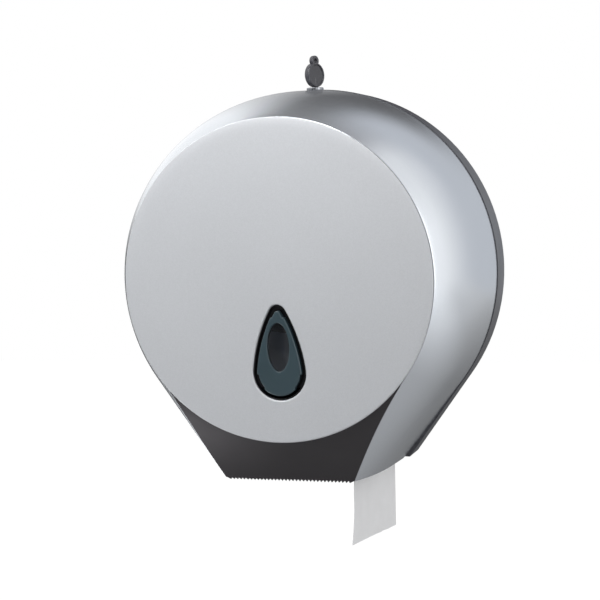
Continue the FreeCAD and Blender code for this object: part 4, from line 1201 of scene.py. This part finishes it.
def paper_tail():
    """The hanging sheet, slightly waved and folded below the foot and torn at its end."""
    s = sizes()
    lo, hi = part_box("paper_roll")
    rear, front = -hi[1], -lo[1]
    thick, inset, steps = mm(0.22), mm(0.1), 56
    foot, hanging = mm(141), mm(55)
    waved, folded, bellied = mm(0.9), mm(0.55), mm(2.6)
    fold_at, fold_wide = 0.30, 0.035
    face, back = [], []
    for i in range(steps + 1):
        share = i / steps
        depth = rear + inset + (front - rear - 2 * inset) * share
        column = []
        for p in tail_line(share, s.roll_radius + mm(0.7)):
            drop = (-p.z - foot) / hanging
            low = max(0.0, drop)
            fold = math.exp(-((share - fold_at) / fold_wide) ** 2) * low
            wave = math.sin(share * 5.2 + 0.8) * 0.5 + math.sin(share * 11.0 + p.z * 40) * 0.16
            belly = bellied * share * math.sin(math.pi * min(0.85, max(0.0, 0.15 + 0.7 * drop)))
            x = p.x + belly + waved * wave * low * (1 - 0.3 * low) - folded * fold
            column.append(Vector((x, -depth, p.z)))
        if 0 < i < steps:
            column[-1].z += abs(noise.noise(Vector((share * 16, 0.4, 2.0))) * mm(0.25))
        face.append(column)
    last = len(face[0]) - 1
    for i, column in enumerate(face):
        made = []
        for k, p in enumerate(column):
            ahead, behind = column[min(k + 1, last)], column[max(k - 1, 0)]
            beside, before = face[min(i + 1, steps)][k], face[max(i - 1, 0)][k]
            made.append(p + (ahead - behind).cross(beside - before).normalized() * thick)
        back.append(made)
    piece = new_piece("tissue_tail", *slab(face, back), "mounting", "tissue", tissue_side(), 60)
    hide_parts("paper_tail")
    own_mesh(piece)


KEY_ANGLE = 67  # of the bow's face about the key, from the wall, in degrees


def key_bow():
    """The key's round bow with a raised rim on both faces, a neck and an eyelet."""
    lo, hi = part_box("key_bow")
    half, radius, rim, recess = mm(2.3), mm(9.0), mm(1.3), mm(0.9)
    inner, dish = radius - rim, half - recess
    profile = [(0.0, dish), (inner, dish), (inner, half), (radius, half),
               (radius, -half), (inner, -half), (inner, -dish), (0.0, -dish)]
    radii = [0, mm(0.35), mm(0.3), mm(0.6), mm(0.6), mm(0.3), mm(0.35), 0]
    bow = skinned(turned_rows(softened(profile, radii), 96))
    # the eyelet, a thick lug above the bow with a small hole
    eye, swell, thick, squareness = mm(2.75), mm(1.15), mm(1.7), 0.4
    eye_z = radius + mm(1.6)
    lug = [[math.copysign(abs(part) ** squareness, part) for part in pair] for pair in circle(24)]
    eyelet = []
    for cosine, sine in circle(48):
        section = [(eye + swell * out, thick * side) for out, side in lug]
        eyelet.append([Vector((r * cosine, y, eye_z + r * sine)) for r, y in section])
    # the neck between bow and lock, an oval in millimetres
    flatness = 0.72
    stem = softened([(0, -2), (2.7, -2), (2.6, -6.5), (3.1, -9.0), (0, -9.0)], [0, 0.3, 0, 0.3, 0])
    neck = [[Vector((mm(r) * cosine, mm(r) * flatness * sine, mm(z))) for cosine, sine in circle(32)]
            for r, z in stem[1:-1]]
    points, faces = joined(bow, skinned(eyelet, True), skinned(neck))
    turn = Matrix.Rotation(math.radians(KEY_ANGLE), 4, "Z")
    centre = Vector(((lo[0] + hi[0]) / 2, (lo[1] + hi[1]) / 2, lo[2] + radius))
    points = [turn @ p + centre for p in points]
    piece = new_piece("key_bow_moulded", points, faces, "key", "black_trim", key_plastic(), 40)
    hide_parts("key_bow")


def lock_collar():
    """The bright ring round the key, turned with a rolled top edge."""
    lo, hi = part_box("lock_collar")
    x, y = (lo[0] + hi[0]) / 2, (lo[1] + hi[1]) / 2
    bore, outer = mm(5.06), (hi[0] - lo[0]) / 2
    low, high = lo[2], hi[2]
    profile = [(bore, low), (outer, low), (outer, high - mm(0.2)), (outer - mm(0.3), high), (bore, high)]
    soft = softened(profile, [0, mm(0.15), mm(0.6), mm(0.4), mm(0.2)], True)
    rows = [[Vector((x + r * cosine, y + r * sine, z)) for cosine, sine in circle(72)] for r, z in soft]
    piece = new_piece("chrome_collar", *skinned(rows, True), "mounting", "chrome_trim", chrome(), 50)
    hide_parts("lock_collar")


CARRIED = (
    (dark_case, ("back_plate", "spindle_post", "spindle_cap")),
    (adapter_plastic, ("core_adapter",)),
    (zinc_steel, ("spindle_screws", "spindle_cap_screw", "hinge_pins", "disc_screws", "chin_screws",
                  "strike_screws", "cam_screw")),
    (lock_metal, ("lock_housing", "lock_nut", "strike_plate", "lock_rotor", "lock_cam", "key_shank")),
)


def dress_carried():
    """Gives the frame's own nodes their finished materials."""
    for made, nodes in CARRIED:
        material = made()
        for node in nodes:
            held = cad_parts[node]
            if held.material_slots:
                for place in held.material_slots:
                    place.material = material
            else:
                held.data.materials.append(material)


# Stage

SENSOR = 36  # width in millimetres
NEAREST, FARTHEST = 0.01, 50


def camera():
    g = staging()
    az, el, roll = (math.radians(v) for v in (g.azimuth, g.elevation, g.roll))
    back = Vector((math.sin(az) * math.cos(el), -math.cos(az) * math.cos(el), math.sin(el)))
    right = Vector((math.cos(az), math.sin(az), 0))
    up = back.cross(right)
    across = right * math.cos(roll) + up * math.sin(roll)
    over = -right * math.sin(roll) + up * math.cos(roll)
    lens = bpy.data.cameras.new("photo_camera")
    lens.sensor_width = SENSOR
    lens.lens = g.lens
    lens.clip_start, lens.clip_end = NEAREST, FARTHEST
    held = bpy.data.objects.new("photo_camera", lens)
    place = Vector((g.target_across, 0, g.target_height)) + back * g.distance
    held.matrix_world = Matrix((
        (across.x, over.x, back.x, place.x), (across.y, over.y, back.y, place.y),
        (across.z, over.z, back.z, place.z), (0, 0, 0, 1)))
    bpy.context.scene.collection.objects.link(held)
    bpy.context.scene.camera = held


WHITE, BLACK = (1, 1, 1), (0, 0, 0)
BRIGHT_WALL = (1.42, 1.42, 1.42)
FRONT, FRONT_MIDDLE = (0.60, 0.61, 0.62), (0.06, 0.06, 0.065)
CEILING_LEFT, CEILING_RIGHT = (0.10, 0.10, 0.10), (0.40, 0.40, 0.42)
BACK_LEFT, BACK_RIGHT = (0.05, 0.048, 0.05), (0.66, 0.69, 0.74)


def room():
    """The world: white to the camera and through glass. Gloss meets a bright wall at each side, grey in
    front with a dark middle, and a ceiling and back that are darker at the left. Other rays meet a soft
    light that fades to the left."""
    world = bpy.data.worlds.new("studio")
    t = cleared(world)
    # x, y and z of the way a ray goes; each ramp is a fade between two of their values
    x, y, z = t.parts(t.add("ShaderNodeTexCoord").outputs["Generated"])
    right = t.times(t.ramp(x, 0.35, 0.55), t.ramp(y, 0.80, 0.25, 0.1, 1.0))
    right = t.times(right, t.ramp(z, 0.30, 0.70, 1.0, 0.72))
    left = t.times(t.ramp(x, -0.22, -0.52), t.ramp(z, 0.98, 0.80, 0.0, 0.92))
    left = t.times(left, t.ramp(z, -0.02, 0.20))
    ceiling = t.mix(t.ramp(x, -0.20, 0.35), CEILING_LEFT, CEILING_RIGHT)
    front = t.mix(t.ramp(z, 0.25, 0.75), FRONT, ceiling)
    front = t.mix(t.ramp(y, -0.80, -0.93), front, FRONT_MIDDLE)
    back = t.mix(t.ramp(x, -0.04, 0.17), BACK_LEFT, BACK_RIGHT)
    tone = t.mix(t.ramp(y, 0.10, 0.60), front, back)
    tone = t.mix(t.maths("MAXIMUM", right, left), tone, BRIGHT_WALL)
    gloss = t.light("Background", tone, 1.0)
    lit = t.plus(0.40, t.weighed(x, 0.42, z, 0.10))
    soft = t.light("Background", t.mix(lit, BLACK, WHITE), staging().room_light)
    rays = t.add("ShaderNodeLightPath").outputs
    shiny = t.shader_mix(rays["Is Glossy Ray"], soft, gloss)
    seen = t.maths("MAXIMUM", rays["Is Camera Ray"], rays["Is Transmission Ray"])
    both = t.shader_mix(seen, shiny, t.light("Background", WHITE, 1.0))
    t.add("ShaderNodeOutputWorld", {0: both})
    bpy.context.scene.world = world


FLOOR_GREY, FLOOR_SHINE, FLOOR_GLOW = (0.73, 0.73, 0.73), (0.98, 0.99, 1.0), 0.72


def floor():
    """A pale floor far below, white to the camera except where the object's shadow lies. Gloss meets it
    dim at the left but for one bright patch, and whiter towards the right."""
    reach, z = 6.0, -staging().floor_drop
    mesh = bpy.data.meshes.new("studio_floor")
    mesh.from_pydata([(-reach, -reach, z), (reach, -reach, z), (reach, reach, z), (-reach, reach, z)], [],
                     [(0, 1, 2, 3)])
    held = bpy.data.objects.new("studio_floor", mesh)
    bpy.context.scene.collection.objects.link(held)
    material = bpy.data.materials.new("Studio floor")
    t = cleared(material)
    pale = t.add("ShaderNodeBsdfDiffuse", {"Color": FLOOR_GREY}).outputs[0]
    glow = t.light("Emission", WHITE, FLOOR_GLOW)
    lit = t.add("ShaderNodeAddShader", {0: pale, 1: glow}).outputs[0]
    # places on the floor in metres, between which each ramp fades
    x, y, _ = t.parts(t.object_place())
    # to gloss the floor is a painted glow that no lamp gives: whiter towards the right, with one bright
    # patch at the left front, a painted reflection for the chin
    white = t.plus(t.ramp(x, 0.3, 2.0, 0.33, 1.14), t.ramp(x, 2.0, 5.0, 0.0, 0.45))
    white = t.times(white, t.ramp(y, 0.4, 2.0, 1.0, 0.62))
    patch = t.times(t.ramp(x, -0.64, -0.80, 0.0, 3.2), t.ramp(x, -1.6, -1.1))
    patch = t.times(patch, t.ramp(y, -2.2, -1.5))
    gloss = t.light("Emission", FLOOR_SHINE, t.plus(white, patch))
    rays = t.add("ShaderNodeLightPath").outputs
    shiny = t.shader_mix(rays["Is Glossy Ray"], pale, gloss)
    both = t.shader_mix(rays["Is Camera Ray"], shiny, lit)
    t.add("ShaderNodeOutputMaterial", {0: both})
    mesh.materials.append(material)


LAMPS = (  # name, place, aim, width, height and the setting of its power
    ("key_lamp", (-0.20, -0.57, 0.62), (0, -0.12, 0.02), 0.6, 0.4, "key_power"),
    ("side_lamp", (1.5, -0.55, 0.25), (0.05, -0.07, 0), 0.5, 1.0, "side_power"),
    ("fill_lamp", (0.2, -2.4, 0.1), (0, -0.06, 0), 1.6, 1.2, "fill_power"),
)


def lamps():
    for name, place, aim, wide, tall, power in LAMPS:
        data = bpy.data.lights.new(name, "AREA")
        data.shape = "RECTANGLE"
        data.size, data.size_y = wide, tall
        data.energy = getattr(staging(), power)
        held = bpy.data.objects.new(name, data)
        held.location = place
        held.rotation_mode = "QUATERNION"
        held.rotation_quaternion = (Vector(aim) - Vector(place)).to_track_quat("-Z", "Y")
        bpy.context.scene.collection.objects.link(held)


def look():
    bpy.context.scene.view_settings.view_transform = "Standard"


# Operators

class Step:
    """What an operator of the dispenser does: it runs its makers in turn."""

    makers = ()

    def execute(self, context):
        for make in self.makers:
            make()
        return {"FINISHED"}


class MakeCover(Step, bpy.types.Operator):
    """Make the satin cover with its step, lands, ears and strike pad"""
    bl_idname = "dispenser.make_cover"
    bl_label = "Cover"
    makers = (cover_band, cover_step, cover_inside)


class MakeDisc(Step, bpy.types.Operator):
    """Make the silver front disc"""
    bl_idname = "dispenser.make_disc"
    bl_label = "Front Disc"
    makers = (front_disc,)


class MakeChin(Step, bpy.types.Operator):
    """Make the dark chin with its teeth"""
    bl_idname = "dispenser.make_chin"
    bl_label = "Chin Panel"
    makers = (chin_panel,)


class MakeWindow(Step, bpy.types.Operator):
    """Make the window's ring, bezel and pane"""
    bl_idname = "dispenser.make_window"
    bl_label = "Window"
    makers = (window_frame, window_bezel, window_pane)


class MakeRoll(Step, bpy.types.Operator):
    """Make the wound paper and its core"""
    bl_idname = "dispenser.make_roll"
    bl_label = "Paper Roll"
    makers = (paper_roll, roll_core)


class MakeTail(Step, bpy.types.Operator):
    """Make the hanging end of the paper"""
    bl_idname = "dispenser.make_tail"
    bl_label = "Hanging Sheet"
    makers = (paper_tail,)


class MakeLock(Step, bpy.types.Operator):
    """Make the key and the collar round it"""
    bl_idname = "dispenser.make_lock"
    bl_label = "Lock and Key"
    makers = (key_bow, lock_collar)


class DressFrame(Step, bpy.types.Operator):
    """Give the frame's own pieces their finished materials"""
    bl_idname = "dispenser.dress_frame"
    bl_label = "Frame Materials"
    makers = (dress_carried,)


class MakeStage(Step, bpy.types.Operator):
    """Make the camera, lamps, floor and world"""
    bl_idname = "dispenser.make_stage"
    bl_label = "Stage"
    makers = (look, camera, room, floor, lamps)


STEPS = (MakeStage, MakeCover, MakeDisc, MakeChin, MakeWindow, MakeRoll, MakeTail, MakeLock, DressFrame)


class DispenserPanel(bpy.types.Panel):
    """Steps and settings of the dispenser"""
    bl_idname = "VIEW3D_PT_dispenser"
    bl_label = "Dispenser"
    bl_space_type = "VIEW_3D"
    bl_region_type = "UI"
    bl_category = "Dispenser"

    def draw(self, context):
        column = self.layout.column(align=True)
        for step in STEPS:
            column.operator(step.bl_idname)
        for held in (context.scene.dispenser_finishes, context.scene.dispenser_sizes,
                     context.scene.dispenser_stage):
            box = self.layout.box()
            for name in held.__annotations__:
                box.prop(held, name)


CLASSES = (DispenserSizes, DispenserFinishes, DispenserStage, *STEPS, DispenserPanel)


def register():
    for item in CLASSES:
        bpy.utils.register_class(item)
    scene = bpy.types.Scene
    scene.dispenser_sizes = bpy.props.PointerProperty(type=DispenserSizes)
    scene.dispenser_finishes = bpy.props.PointerProperty(type=DispenserFinishes)
    scene.dispenser_stage = bpy.props.PointerProperty(type=DispenserStage)


def unregister():
    scene = bpy.types.Scene
    del scene.dispenser_stage, scene.dispenser_finishes, scene.dispenser_sizes
    for item in reversed(CLASSES):
        bpy.utils.unregister_class(item)


def main():
    register()
    bpy.ops.dispenser.make_stage()
    bpy.ops.dispenser.make_cover()
    bpy.ops.dispenser.make_disc()
    bpy.ops.dispenser.make_chin()
    bpy.ops.dispenser.make_window()
    bpy.ops.dispenser.make_roll()
    bpy.ops.dispenser.make_tail()
    bpy.ops.dispenser.make_lock()
    bpy.ops.dispenser.dress_frame()


if __name__ == "__main__":
    main()
